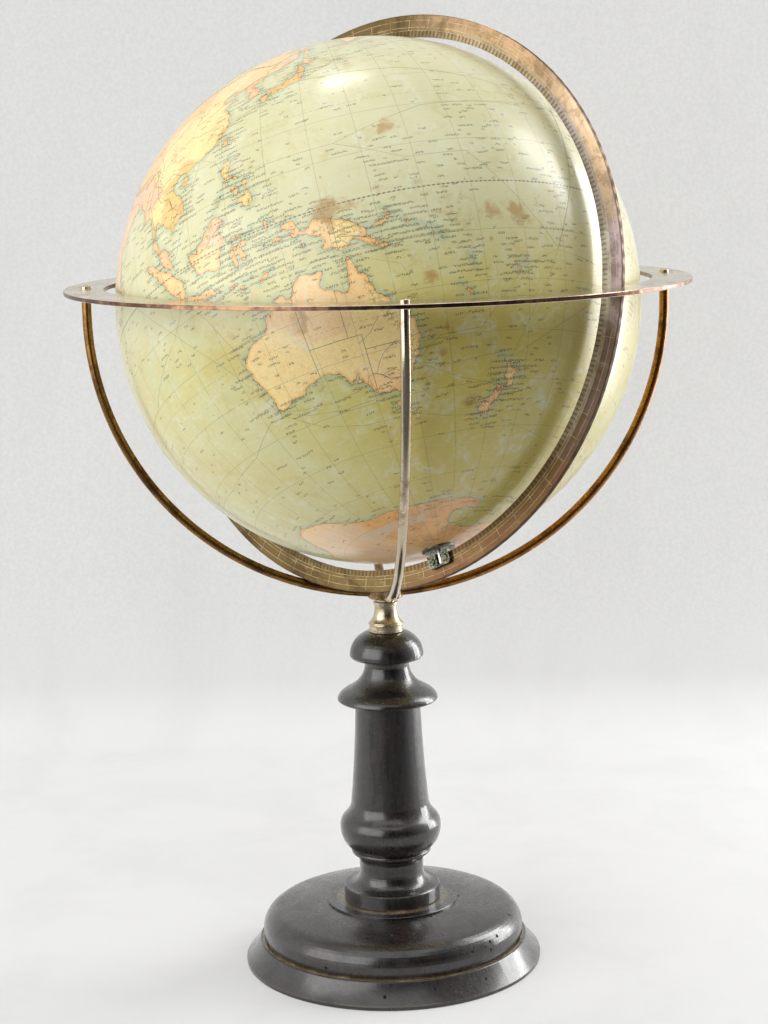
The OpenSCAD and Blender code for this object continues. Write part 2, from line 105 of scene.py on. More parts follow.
# Longitude of the map that faces the ball's own X, and millimetres of map in one degree
FIRST_LON = -159.66
MM_PER_DEGREE = math.radians(BALL_R / MM)
CENTRE = Vector((0, 0, BALL_Z))
MERIDIAN_TURN = Matrix.Rotation(-LEAN, 4, "X")
POLAR_TURN = MERIDIAN_TURN @ Matrix.Rotation(-POLE_TILT, 4, "Y")
MERIDIAN_FRAME = Matrix.Translation(CENTRE) @ MERIDIAN_TURN
POLAR_FRAME = Matrix.Translation(CENTRE) @ POLAR_TURN

Colour = tuple[float, float, float]
# What Graph.put takes: an output socket, a number, a colour or a vector
Value = object


class PrintedLine(Enum):
    """The kinds of lines that are printed over the map."""

    BORDER = "border"
    RIVER = "river"
    ROUTE = "route"


def linear(red: int, green: int, blue: int) -> Colour:
    """A screen colour of 0 to 255 a channel as linear light.

    Args:
        red: Red channel.
        green: Green channel.
        blue: Blue channel.

    Returns:
        The three linear channels.
    """
    def one(value: int) -> float:
        """One channel as linear light."""
        v = value / 255
        return v / 12.92 if v <= 0.04045 else ((v + 0.055) / 1.055) ** 2.4

    return one(red), one(green), one(blue)


# ---------------------------------------------------------------- shader graphs


class Graph:
    """Short calls that place and join the nodes of one shader tree."""

    def __init__(self, tree: bpy.types.NodeTree) -> None:
        """Keeps the tree that the calls fill.

        Args:
            tree: A material's or a group's node tree.
        """
        self.tree = tree

    def node(self, kind: str, **settings: object) -> bpy.types.Node:
        """Adds a node and sets its properties.

        Args:
            kind: The node's type without the word ShaderNode.
            **settings: Properties of the node.

        Returns:
            The new node.
        """
        made = self.tree.nodes.new("ShaderNode" + kind)
        for name, value in settings.items():
            setattr(made, name, value)
        return made

    def put(self, socket: bpy.types.NodeSocket, value: Value) -> None:
        """Links a socket to an output, or writes a number or colour on it.

        Args:
            socket: The input to fill.
            value: An output socket, a number, a colour or a vector.
        """
        if isinstance(value, bpy.types.NodeSocket):
            self.tree.links.new(value, socket)
        elif isinstance(value, (int, float)) and hasattr(socket.default_value, "__len__"):
            socket.default_value = (value,) * len(socket.default_value)
        elif hasattr(value, "__len__") and len(value) == 3 and len(socket.default_value) == 4:
            socket.default_value = (*value, 1.0)
        else:
            socket.default_value = value

    def fill(self, node: bpy.types.Node, inputs: dict[str, Value] | dict[int, Value]) -> None:
        """Puts a value on each input of a node, by its name or its number."""
        for name, value in inputs.items():
            self.put(node.inputs[name], value)

    def math(self, operation: str, first: Value, second: Value = 0.0,
             clamp: bool = False) -> bpy.types.NodeSocket:
        """A Math node.

        Args:
            operation: The node's operation.
            first: Its first input.
            second: Its second input.
            clamp: Whether the result is held between 0 and 1.

        Returns:
            The result.
        """
        made = self.node("Math", operation=operation, use_clamp=clamp)
        self.fill(made, {0: first, 1: second})
        return made.outputs[0]

    def add(self, first: Value, second: Value) -> bpy.types.NodeSocket:
        """The sum of two values."""
        return self.math("ADD", first, second)

    def sub(self, first: Value, second: Value) -> bpy.types.NodeSocket:
        """The difference of two values."""
        return self.math("SUBTRACT", first, second)

    def mul(self, first: Value, second: Value) -> bpy.types.NodeSocket:
        """The product of two values."""
        return self.math("MULTIPLY", first, second)

    def most(self, first: Value, second: Value) -> bpy.types.NodeSocket:
        """The greater of two values."""
        return self.math("MAXIMUM", first, second)

    def gap(self, first: Value, second: Value) -> bpy.types.NodeSocket:
        """How far two values lie apart."""
        return self.math("ABSOLUTE", self.sub(first, second))

    def off_whole(self, value: Value) -> bpy.types.NodeSocket:
        """How far a value lies from the nearest whole number."""
        return self.gap(value, self.math("ROUND", value))

    def length(self, first: Value, second: Value) -> bpy.types.NodeSocket:
        """The length of a flat vector."""
        return self.math("SQRT", self.add(self.mul(first, first), self.mul(second, second)))

    def wave(self, value: Value) -> bpy.types.NodeSocket:
        """The sine of a value."""
        return self.math("SINE", value)

    def span(self, value: Value, low: Value, high: Value, out_low: Value = 0.0,
             out_high: Value = 1.0) -> bpy.types.NodeSocket:
        """Maps low to high onto another span, eased and held at its ends.

        Args:
            value: The value to map.
            low: Where the span starts.
            high: Where it ends.
            out_low: What low becomes.
            out_high: What high becomes.

        Returns:
            The mapped value.
        """
        made = self.node("MapRange", interpolation_type="SMOOTHSTEP")
        self.fill(made, dict(enumerate((value, low, high, out_low, out_high))))
        return made.outputs[0]

    def mix(self, mask: Value, first: Value, second: Value) -> bpy.types.NodeSocket:
        """Mixes two colours.

        Args:
            mask: 0 gives the first colour and 1 the second.
            first: The first colour.
            second: The second colour.

        Returns:
            The mixed colour.
        """
        made = self.node("Mix", data_type="RGBA")
        self.fill(made, {0: mask, 6: first, 7: second})
        return made.outputs[2]

    def noise(self, vector: Value, scale: float, detail: float = 3.0, rough: float = 0.5,
              warp: float = 0.0) -> bpy.types.NodeSocket:
        """Noise between 0 and 1.

        Args:
            vector: Where it is read.
            scale: Cells in a metre, or in a unit of the vector.
            detail: Number of finer layers.
            rough: Strength of the finer layers.
            warp: How far the pattern is bent by itself.

        Returns:
            The noise value.
        """
        made = self.node("TexNoise")
        self.fill(made, {"Vector": vector, "Scale": scale, "Detail": detail,
                         "Roughness": rough, "Distortion": warp})
        return made.outputs["Fac"]

    def cells(self, vector: Value, scale: float) -> bpy.types.NodeSocket:
        """Distance to the nearest of many scattered points."""
        made = self.node("TexVoronoi")
        self.fill(made, {"Vector": vector, "Scale": scale})
        return made.outputs["Distance"]

    def parts(self, vector: Value) -> list[bpy.types.NodeSocket]:
        """The three parts of a vector."""
        made = self.node("SeparateXYZ")
        self.put(made.inputs[0], vector)
        return list(made.outputs)

    def join(self, first: Value, second: Value, third: Value = 0.0) -> bpy.types.NodeSocket:
        """A vector of three values."""
        made = self.node("CombineXYZ")
        self.fill(made, {0: first, 1: second, 2: third})
        return made.outputs[0]

    def place(self, turn: Matrix | None = None,
              scale: tuple[float, float, float] = (1, 1, 1)) -> bpy.types.NodeSocket:
        """Object coordinates, seen from a turned frame.

        Args:
            turn: The frame, as a matrix, or nothing for the object's own.
            scale: How the coordinates are stretched after that.

        Returns:
            The coordinates.
        """
        where = self.node("TexCoord").outputs["Object"]
        frame = turn or Matrix.Identity(4)
        made = self.node("Mapping", vector_type="TEXTURE")
        self.fill(made, {"Vector": where, "Location": frame.to_translation(),
                         "Rotation": frame.to_euler("XYZ"), "Scale": [1 / s for s in scale]})
        return made.outputs[0]

    def attribute(self, name: str) -> bpy.types.NodeSocket:
        """A number stored on the mesh."""
        return self.node("Attribute", attribute_name=name).outputs["Fac"]

    def bump(self, height: Value, strength: float, depth: float) -> bpy.types.NodeSocket:
        """A normal bent by a height.

        Args:
            height: The height, 0 to 1.
            strength: How much of it shows.
            depth: Its depth in metres.

        Returns:
            The normal.
        """
        made = self.node("Bump")
        self.fill(made, {"Strength": strength, "Distance": depth, "Height": height})
        return made.outputs[0]

    def call(self, group: bpy.types.NodeTree, **inputs: Value) -> bpy.types.NodeSocket:
        """Places a shared group.

        Args:
            group: The node group.
            **inputs: What its inputs get.

        Returns:
            The group's mask.
        """
        made = self.tree.nodes.new("ShaderNodeGroup")
        made.node_tree = group
        self.fill(made, inputs)
        return made.outputs[0]

    def patina(self, vector: Value, scale: float, low: float,
               high: float) -> bpy.types.NodeSocket:
        """Cloudy stains.

        Args:
            vector: Where they are read.
            scale: Clouds in a metre.
            low: Where a stain starts in the noise.
            high: Where it is full.

        Returns:
            The mask.
        """
        return self.call(SharedGroups.patina(), Vector=vector, Scale=scale, Low=low, High=high)

    def specks(self, vector: Value, scale: float, size: float,
               share: float) -> bpy.types.NodeSocket:
        """Small scattered spots.

        Args:
            vector: Where they are read.
            scale: Spots in a metre.
            size: Their greatest reach, in cells.
            share: How many of the cells hold one.

        Returns:
            The mask.
        """
        return self.call(SharedGroups.specks(), Vector=vector, Scale=scale, Size=size,
                         Share=share)


class SharedGroups:
    """The node groups that several finishes use, each made once."""

    made: dict[str, bpy.types.NodeTree] = {}

    @classmethod
    def start(cls, name: str, inputs: dict[str, str],
              outputs: dict[str, str]) -> tuple[bpy.types.NodeTree, Graph, dict, dict]:
        """Makes an empty group with its sockets.

        Args:
            name: The group's name.
            inputs: Socket name to kind, Float, Vector or Color.
            outputs: The same for the results.

        Returns:
            The tree, a Graph on it, and its input and output sockets by name.
        """
        tree = bpy.data.node_groups.new(name, "ShaderNodeTree")
        for side, sockets in (("INPUT", inputs), ("OUTPUT", outputs)):
            for label, kind in sockets.items():
                tree.interface.new_socket(label, in_out=side, socket_type="NodeSocket" + kind)
        entry = tree.nodes.new("NodeGroupInput")
        leave = tree.nodes.new("NodeGroupOutput")
        return (tree, Graph(tree), {s.name: s for s in entry.outputs if s.name},
                {s.name: s for s in leave.inputs if s.name})

    @classmethod
    def patina(cls) -> bpy.types.NodeTree:
        """Cloudy stains: a mask of large soft clouds with finer ones in them."""
        if "patina" not in cls.made:
            tree, g, given, result = cls.start(
                "patina", {"Vector": "Vector", "Scale": "Float", "Low": "Float", "High": "Float"},
                {"Mask": "Float"})
            fine = g.mul(given["Scale"], 5.3)
            cloud = g.noise(given["Vector"], given["Scale"], 4, 0.6, 0.6)
            speck = g.noise(given["Vector"], fine, 3, 0.6, 0.2)
            both = g.add(g.mul(cloud, 0.72), g.mul(speck, 0.28))
            g.put(result["Mask"], g.span(both, given["Low"], given["High"]))
            cls.made["patina"] = tree
        return cls.made["patina"]

    @classmethod
    def specks(cls) -> bpy.types.NodeTree:
        """Small scattered spots of uneven size, such as corrosion pits, foxing or dust."""
        if "specks" not in cls.made:
            tree, g, given, result = cls.start(
                "specks", {"Vector": "Vector", "Scale": "Float", "Size": "Float",
                           "Share": "Float"}, {"Mask": "Float"})
            bent = g.noise(given["Vector"], g.mul(given["Scale"], 1.9), 2, 0.6)
            reach = g.add(g.cells(given["Vector"], given["Scale"]), g.mul(bent, 0.22))
            chosen = g.noise(given["Vector"], g.mul(given["Scale"], 0.23), 2, 0.5)
            edge = g.mul(given["Size"], g.span(chosen, g.sub(1.0, given["Share"]), 1.0))
            g.put(result["Mask"], g.span(g.sub(reach, edge), 0.16, 0.06))
            cls.made["specks"] = tree
        return cls.made["specks"]

    @classmethod
    def scratches(cls) -> bpy.types.NodeTree:
        """Thin lines drawn out along the first axis of the vector."""
        if "scratches" not in cls.made:
            tree, g, given, result = cls.start(
                "scratches", {"Vector": "Vector", "Length": "Float", "Fineness": "Float"},
                {"Mask": "Float"})
            x, y, z = g.parts(given["Vector"])
            drawn = g.join(g.mul(x, given["Length"]), g.mul(y, given["Fineness"]),
                           g.mul(z, given["Fineness"]))
            g.put(result["Mask"], g.noise(drawn, 1.0, 3, 0.6, 0.1))
            cls.made["scratches"] = tree
        return cls.made["scratches"]


def new_material(name: str) -> tuple[bpy.types.Material, Graph, bpy.types.Node]:
    """A material with one Principled shader.

    Args:
        name: Its name.

    Returns:
        The material, a Graph on its tree, and the shader's node.
    """
    made = bpy.data.materials.new(name)
    made.use_nodes = True
    return made, Graph(made.node_tree), made.node_tree.nodes["Principled BSDF"]


# ------------------------------------------------------------------- finishes


@dataclass(frozen=True)
class DustLine:
    """Dust that lies in one turned groove, out to a radius, in metres."""

    height: float
    radius: float
    half: float
    strength: float


@dataclass(frozen=True)
class EbonisedWood:
    """Black-stained, polished wood with grain, dust in its grooves and worn edges."""

    name: str = "ebonised_wood"
    stain: Colour = linear(20, 18, 18)
    brown: Colour = linear(50, 36, 30)
    pore: Colour = linear(12, 10, 9)
    dust: Colour = linear(186, 166, 128)
    rubbed: Colour = linear(92, 78, 66)
    chipped: Colour = linear(150, 128, 100)
    scuff: Colour = linear(128, 122, 116)
    # Painted shade inside the worm holes
    hole: Colour = linear(10, 7, 5)
    coat_roughness: float = 0.2
    bump_strength: float = 0.5
    bump_depth: float = 0.14 * MM
    # Places of the worm holes in the base, and the radii where one ends and is full
    holes_mm: tuple[tuple[float, float, float], ...] = (
        (80.2, 4.9, 28.5), (80.9, -3.2, 27.3), (82.5, -4.3, 22.8), (79.4, -19.3, 25.5),
        (70.2, 30.7, 32.1), (42.1, -12.7, 37.6), (20.2, -45.7, 36.8), (14.8, -81.2, 19.5),
        (87.4, -16.0, 9.0), (73.6, -48.7, 9.9), (53.7, -72.0, 7.5), (32.8, 26.2, 37.8))
    hole_edge: float = 1.3 * MM
    hole_full: float = 0.9 * MM
    dust_lines: tuple[DustLine, ...] = (
        DustLine(0.0143, 0.0829, 0.002, 1.4), DustLine(0.0391, 0.0345, 0.0012, 0.7),
        DustLine(0.0692, 0.0255, 0.0014, 0.35), DustLine(0.0762, 0.0262, 0.0016, 0.35),
        DustLine(0.1685, 0.0222, 0.0012, 0.2), DustLine(0.1924, 0.0152, 0.0014, 0.4),
        DustLine(0.0026, 0.2, 0.0007, 0.2))
    dust_fade: float = 1.8 * MM

    def build(self) -> bpy.types.Material:
        """Makes the material."""
        made, g, shader = new_material(self.name)
        where = g.place()
        x, y, z = g.parts(where)
        radius = g.length(x, y)
        grain = g.noise(g.place(scale=(1, 1, 0.12)), 420, 4, 0.65, 0.4)
        pores = g.span(g.noise(g.place(scale=(1, 1, 0.05)), 1500, 2, 0.5), 0.60, 0.72)
        turned = g.noise(g.join(g.mul(radius, 900), g.mul(z, 1400), 0.0), 1.0, 2, 0.6)
        cloud = g.patina(where, 34.0, 0.46, 0.66)
        worn = g.specks(where, 260.0, 0.16, 0.42)
        smear = g.patina(g.place(scale=(1, 1, 0.6)), 75.0, 0.4, 0.82)
        chips = g.specks(where, 120.0, 0.13, 0.2)
        scuffed = g.mul(g.span(g.noise(g.place(scale=(1, 1, 3)), 330, 4, 0.75, 1.0), 0.56, 0.7),
                        g.span(g.noise(where, 30, 3, 0.6), 0.42, 0.6))
        bored = self.bored(g, where)

        colour = g.mix(g.mul(cloud, 0.42), self.stain, self.brown)
        colour = g.mix(g.mul(g.span(grain, 0.45, 0.7), 0.35), colour, self.brown)
        colour = g.mix(g.mul(pores, 0.5), colour, self.pore)
        colour = self.dusted(g, radius, z, smear, colour)
        colour = g.mix(g.mul(worn, 0.35), colour, self.rubbed)
        colour = g.mix(g.mul(chips, 0.7), colour, self.chipped)
        colour = g.mix(g.mul(scuffed, 0.28), colour, self.scuff)
        # Painted shade: the worm holes are darkened with the shade that falls inside them
        colour = g.mix(bored, colour, self.hole)

        rough = g.add(g.mul(smear, 0.18), g.span(grain, 0.3, 0.8, 0.22, 0.36))
        rough = g.most(g.add(rough, g.mul(scuffed, 0.25)), bored)
        height = g.add(g.mul(grain, 0.5), g.add(g.mul(turned, 0.5), g.mul(pores, -0.5)))
        height = g.sub(height, g.add(g.mul(bored, 3.0), chips))
        sealed = g.sub(g.span(smear, 0.0, 1.0, 0.85, 0.45), g.most(bored, chips))
        g.fill(shader, {"Base Color": colour, "Roughness": rough,
                        "Normal": g.bump(height, self.bump_strength, self.bump_depth),
                        "Coat Weight": g.most(sealed, 0.0),
                        "Coat Roughness": self.coat_roughness})
        return made

    def dusted(self, g: Graph, radius: Value, z: Value, smear: Value, colour: Value) -> Value:
        """Lays dust in the turned grooves.

        Args:
            g: The graph to fill.
            radius: Distance from the column's axis.
            z: Height over the table.
            smear: A mask of where the dust is thick.
            colour: The wood's colour.

        Returns:
            The dusted colour.
        """
        thick = g.span(smear, 0.0, 1.0, 0.25, 1.0)
        for line in self.dust_lines:
            near = g.math("SUBTRACT", 1.0, g.math("DIVIDE", g.gap(z, line.height), line.half),
                          clamp=True)
            inside = g.span(radius, line.radius, line.radius + self.dust_fade, 1.0, 0.0)
            mask = g.mul(g.mul(near, inside), thick)
            colour = g.mix(g.mul(mask, line.strength), colour, self.dust)
        return colour

    def bored(self, g: Graph, where: Value) -> Value:
        """A mask of the few worm holes in the base.

        Args:
            g: The graph to fill.
            where: Coordinates in metres from the middle of the foot.

        Returns:
            The mask.
        """
        found: Value = 0.0
        for hole in self.holes_mm:
            away = g.node("VectorMath", operation="DISTANCE")
            g.put(away.inputs[0], where)
            g.put(away.inputs[1], [v * MM for v in hole])
            found = g.most(found, g.span(away.outputs["Value"], self.hole_edge, self.hole_full))
        return found


@dataclass(frozen=True)
class AgedMetal:
    """Metal with stains, corrosion specks, fine scratches and a worn plate or lacquer."""

    name: str
    base: Colour
    stain: Colour
    bright: Colour
    rough: float = 0.3
    stain_scale: float = 60.0
    stain_low: float = 0.44
    stain_high: float = 0.62
    specks: float = 0.3
    scratch: tuple[float, float] = (120.0, 2600.0)
    bright_share: float = 0.6
    pit: Colour = linear(60, 45, 34)
    pit_scale: float = 900.0
    pit_size: float = 0.12
    bump_strength: float = 0.25
    bump_depth: float = 0.08 * MM

    def build(self) -> bpy.types.Material:
        """Makes the material."""
        made, g, shader = new_material(self.name)
        colour, rough, height = self.surface(g, g.place(), g.place())
        g.fill(shader, {"Base Color": colour, "Roughness": rough, "Metallic": 1.0,
                        "Normal": g.bump(height, self.bump_strength, self.bump_depth)})
        return made

    def surface(self, g: Graph, where: Value, drawn: Value) -> tuple[Value, Value, Value]:
        """The colour, roughness and height of the bare surface.

        Args:
            g: The graph to fill.
            where: Coordinates of the stains.
            drawn: Coordinates whose first axis runs along the scratches.

        Returns:
            Colour, roughness and height.
        """
        stain = g.patina(where, self.stain_scale, self.stain_low, self.stain_high)
        patch = g.patina(where, self.stain_scale * 2.7, self.bright_share - 0.08,
                         self.bright_share + 0.06)
        pits = g.specks(where, self.pit_scale, self.pit_size, self.specks)
        length, fineness = self.scratch
        lines = g.call(SharedGroups.scratches(), Vector=drawn, Length=length,
                       Fineness=fineness)
        colour = g.mix(stain, self.base, self.stain)
        colour = g.mix(g.mul(patch, 0.8), colour, self.bright)
        colour = g.mix(g.mul(g.span(lines, 0.56, 0.68), 0.35), colour, self.bright)
        colour = g.mix(g.mul(pits, 0.7), colour, self.pit)
        rough = g.add(g.mul(stain, 0.12), g.span(lines, 0.3, 0.7, self.rough - 0.05,
                                                 self.rough + 0.08))
        rough = g.add(rough, g.mul(pits, 0.25))
        height = g.sub(g.mul(lines, 0.6), g.mul(pits, 0.5))
        return colour, rough, height


# ------------------------------------------------------------- the printed map


# Coasts as longitude and latitude in degrees, east past 180 counted on
LAND: dict[str, str] = {
    "australia": """142.5,-10.7 143.5,-12.8 143.8,-14.4 144.6,-14.4 145.3,-15.2 145.4,-16.3
    146,-17.6 146.2,-18.7 147.2,-19.4 148.4,-20.2 149,-21.2 149.6,-22.3 150.7,-22.6
    150.9,-23.5 151.8,-24.1 152.6,-25 153.2,-25.9 153.1,-27.2 153.6,-28.6 153,-30.6
    152.6,-32.2 151.7,-33 151,-34.3 150.2,-36 149.9,-37.4 148.3,-37.9 147,-38.5 146.4,-39.1
    145.5,-38.4 144.9,-37.9 144.5,-38.3 143.5,-38.8 142,-38.3 140.7,-38 139.8,-37.1
    139.6,-36.1 138.5,-35.6 138.5,-34.9 138.1,-34.2 137.7,-35.2 136.9,-35.2 137.5,-34.5
    137.9,-33.3 137.8,-32.6 137.2,-33.6 136.2,-34.5 135.6,-34.9 135.1,-34.5 134.8,-33.4
    134.1,-32.6 133.4,-32.1 132.2,-32 131.2,-31.5 129.6,-31.6 128,-32 126.1,-32.3 124.6,-32.9
    123.9,-33.8 122.2,-33.9 120,-33.9 118.8,-34.5 117.9,-35.1 116.6,-35 115.1,-34.3
    115.7,-33.4 115.7,-31.9 115.1,-30.5 114.7,-29 114.1,-27.8 113.3,-26.3 114.2,-26.2
    113.6,-25 113.5,-24 113.7,-22.8 114.1,-21.8 114.5,-22.5 115.6,-21.5 116.8,-20.7
    118.2,-20.4 119.6,-20 121,-19.6 121.7,-18.7 122.2,-18 122.3,-17.1 123,-16.5 123.6,-17.4
    123.9,-16.4 124.7,-15.5 125.3,-14.7 126,-14.2 126.9,-13.8 127.8,-14.3 128.2,-15.2
    129.4,-14.9 129.8,-13.7 130.3,-13 130.8,-12.4 131.6,-12.2 132,-11.3 132.8,-11.6
    133.9,-11.8 135.2,-12.1 136.2,-11.9 136.9,-12.3 136.3,-13.2 135.9,-14.2 135.4,-14.9
    136.6,-15.8 137.8,-16.2 139,-16.9 139.6,-17.5 140.6,-17.6 141.1,-16.9 141.5,-15.8
    141.6,-14.4 141.6,-13 141.9,-12.1 142.1,-11.1""",
    "tasmania": """144.7,-40.7 146.3,-41.1 148.2,-40.9 148.3,-42 147.9,-43.1 146.8,-43.6
    146,-43.4 145.3,-42.5 144.8,-41.5""",
    "new_guinea": """131,-0.8 132.4,-0.4 133.9,-0.8 134.2,-2.1 134.6,-3.1 135.3,-3.4 136.2,-2.8
    137,-2.1 137.8,-1.5 139,-1.9 140.8,-2.5 142.3,-3.1 143.9,-3.7 145,-4.2 145.8,-5
    145.8,-5.5 147,-5.9 147.9,-6.5 147,-6.8 147.2,-7.6 148.2,-8.6 149.3,-9.2 150,-9.7
    150.9,-10.3 150.2,-10.7 148.9,-10.3 147.7,-10.1 146.9,-9.3 146,-8.3 144.9,-7.7 143.7,-7.9
    143.3,-8.8 142.3,-9.2 141,-9.1 139.9,-8.2 138.9,-8.2 138,-8.4 137.8,-7.6 138.7,-7.2
    138.9,-6.6 138.2,-5.5 137,-4.9 135.3,-4.4 133.8,-3.8 132.9,-4.1 132.8,-3.4 132,-2.9
    133.5,-2.5 132.2,-2.2 131.3,-1.5""",
    "new_britain": """148.4,-5.7 149.7,-5.5 150.3,-5.5 151.4,-5 152,-4.2 152.3,-4.4 152.1,-5.2
    151.5,-5.6 150.5,-6.2 149.3,-6.2 148.5,-6""",
    "new_ireland": "150.8,-2.6 152,-3.2 152.9,-4.1 153.1,-4.8 152.6,-4.4 151.6,-3.5",
    "bougainville": "154.6,-5.4 155.4,-6 156,-6.8 155.3,-6.7 154.8,-6",
    "choiseul": "156.4,-6.6 157.6,-7.4 156.9,-7.2",
    "isabel": "158.2,-7.5 159.9,-8.5 159.1,-8.3",
    "guadalcanal": "159.7,-9.2 160.9,-9.8 159.9,-9.9",
    "malaita": "160.7,-8.3 161.5,-9.6 160.8,-9",
    "makira": "161.3,-10.2 162.4,-10.8 161.5,-10.8",
    "new_caledonia": "164,-20 165.6,-21.1 167,-22.3 166.2,-22.3 164.9,-21.3",
    "espiritu": "166.6,-14.6 167.2,-15.4 166.8,-15.7",
    "malekula": "167.2,-15.9 167.9,-16.6 167.4,-16.6",
    "viti": "177.3,-17.5 178.6,-17.7 178.2,-18.3 177.3,-18.1",
    "vanua": "178.6,-16.7 179.9,-16.1 179.2,-16.8",
    "new_zealand_n": """172.7,-34.4 173.3,-35 174.3,-35.3 174.8,-36.3 175.5,-36.6 175.9,-37.5
    176.9,-37.9 178.5,-37.7 178,-38.6 177.1,-39.2 176.9,-40.1 176.2,-41.2 175.2,-41.6
    174.7,-41.3 175.2,-40.4 174.3,-39.7 173.8,-39.3 174.6,-38.4 174.8,-37.3 174.3,-36.4
    173.4,-35.4""",
    "new_zealand_s": """172.7,-40.5 173.3,-41.2 174.3,-41.2 173.9,-42.1 172.8,-43.2 173,-43.9
    171.3,-44.3 170.8,-45.8 169.5,-46.6 168.3,-46.5 167.3,-46.2 166.5,-45.8 167.5,-44.7
    168.8,-44 170.3,-43.1 171.3,-42.2 171.9,-41.4 172.3,-40.8""",
    "stewart": "167.6,-46.8 168.2,-46.9 168,-47.3",
    "sumatra": """95.4,5.6 97.5,5.2 98.7,3.8 100.3,2.4 101.6,1.6 103,0.6 103.8,-0.4 104.4,-1.1
    105.6,-2.1 106,-3 105.8,-4.2 105.7,-5.8 104.5,-5.8 103,-4.6 101.6,-3.3 100.8,-2.1
    100.2,-0.8 99.1,0.2 98.6,1.6 97.6,2.4 96.4,3.6 95.3,4.9""",
    "java": """105.3,-6.8 106.1,-5.9 107.5,-6.1 108.6,-6.7 110.4,-6.9 110.9,-6.4 111.6,-6.7
    112.7,-6.9 113,-7.7 114.4,-7.8 114.5,-8.6 112.7,-8.4 110.5,-8.1 108.6,-7.8 106.5,-7.4""",
    "bali": "114.6,-8.1 115.7,-8.4 115.1,-8.9",
    "lombok": "116,-8.3 116.7,-8.6 116.2,-9",
    "sumbawa": "116.8,-8.5 118,-8.2 119.1,-8.5 118.2,-8.9 116.9,-9",
    "sumba": "119.1,-9.4 120.2,-9.4 120.8,-10.1 119.8,-10",
    "flores": "119.9,-8.3 121.5,-8.5 122.9,-8.1 122.6,-8.7 120.8,-8.9",
    "timor": "123.5,-10.3 124.3,-9.4 125.6,-8.6 127.2,-8.3 126.4,-9 125,-9.7 123.9,-10.3",
    "borneo": """109,1.6 109.7,2 111.2,1.5 111.4,2.6 113,3.2 114,4.6 115.4,5.4 116.7,6.9
    117.7,6.4 119.2,5.2 118,4.3 117.6,3.4 118,2.2 119,1 117.8,0.8 117.4,-0.3 116.5,-1.5
    116.4,-2.9 116.1,-3.8 114.6,-4.1 113,-3.2 111.8,-3.4 110.2,-2.9 110,-1.5 109.1,-0.4
    109,0.5""",
    "sulawesi": """119.8,0.2 120.1,0.9 121,1.3 122.8,0.9 124.3,0.5 125.2,1.6 124.4,0.2 123,0.4
    121.2,0.4 120.1,0.3 120,-0.8 120.8,-1.4 121.6,-0.9 123.3,-0.8 122.6,-1.6 121.6,-1.9
    122.4,-3.3 122.7,-4.3 122,-4.8 121.4,-4.4 121,-2.8 120.3,-3 120.4,-4.4 120.4,-5.6
    119.5,-5.5 119.5,-3.5 118.8,-2.8 119.3,-1.4 119.8,-0.5""",
    "halmahera": """127.5,1.1 127.9,2.1 128.1,1.3 128.8,1.4 128.1,0.6 128.7,0.3 128.1,0
    128.3,-0.8 127.7,-0.3""",
    "buru": "126,-3.1 127.2,-3.2 126.8,-3.9",
    "seram": "128,-3.3 129.5,-2.8 130.8,-3.4 130.6,-3.9 129,-3.4",
    "aru": "134.2,-5.7 134.8,-5.9 134.6,-6.8 134,-6.6",
    "luzon": """120.6,18.5 122.2,18.4 122.3,17 121.5,15.9 121.7,14.5 122.6,14.1 123.4,13.8
    124.1,12.8 123.1,13.1 122,13.7 120.8,13.8 120.6,14.4 120.1,15.2 119.9,16.3 120.4,17""",
    "mindanao": """122,7 123.2,7.6 123.2,8.4 124.6,8.6 125.5,9.8 126.3,8.4 126.6,7.2 126.2,6.3
    125.6,7 125.4,5.7 124.2,6.3 123.7,7.6""",
    "samar": "124.3,12.5 125.5,12.1 125.7,11.1 124.9,11.3",
    "leyte": "124.4,11.4 125,11.2 125.2,10.2 124.8,10.3",
    "cebu": "123.9,11.1 124,10.3 123.4,9.6",
    "negros": "122.9,10.9 123.5,10.4 123.1,9.1 122.5,9.8",
    "panay": "121.9,11.8 123.1,11.5 122.6,10.7 122,10.5",
    "mindoro": "120.4,13.5 121.2,13.4 121.4,12.5 121.1,12.3",
    "palawan": "117.2,8.4 118.8,9.8 119.5,11.3 119.3,10.3 118.2,8.9",
    "taiwan": "121.5,25.2 122,25 121.5,23.5 120.9,22 120.2,22.9 120.9,24.8",
    "hainan": "108.7,19.3 109.3,19.9 110.5,20.1 111,19.7 110.4,18.6 109.5,18.2 108.7,18.6",
    "kyushu": """130,33.4 130.9,33.9 131.7,33.6 132,32.8 131.4,31.4 130.7,31.1 130.2,31.6
    129.8,32.7 129.6,33.2""",
    "shikoku": "132.5,33.9 133.6,34.3 134.6,34.2 134.6,33.8 134.2,33.3 133.3,33.4 132.9,32.8",
    "honshu": """130.9,34.1 131.4,34.5 132.7,35.5 134.2,35.6 135.6,35.6 136.2,36.1 136.8,37.3
    137.3,36.8 138.5,37.3 139.4,38.2 140,39.3 140,40.6 140.6,41.3 141.4,41.4 141.7,40.4
    142,39.5 141.5,38.3 141,37.5 140.7,36 140.6,35.3 139.8,35.1 138.8,34.6 137.5,34.7
    136.8,34.4 135.8,33.5 135.1,34.2 134,34.6 132.4,34.2 131,33.9""",
    "hokkaido": """140,41.5 141.1,41.8 140.7,42.4 141.8,42.6 143.2,42 144.8,42.9 145.3,44.1
    143.6,44.3 142,45.5 141.7,44.5 141.2,43.2 140.4,43.3 139.9,42.4""",
    "sakhalin": """142,46 142.7,46.7 143.5,46.8 142.9,48.4 144.5,49 143.7,50.2 143.3,52.5
    142.9,54.4 142.3,53.4 142,51.8 142.1,49 142,47""",
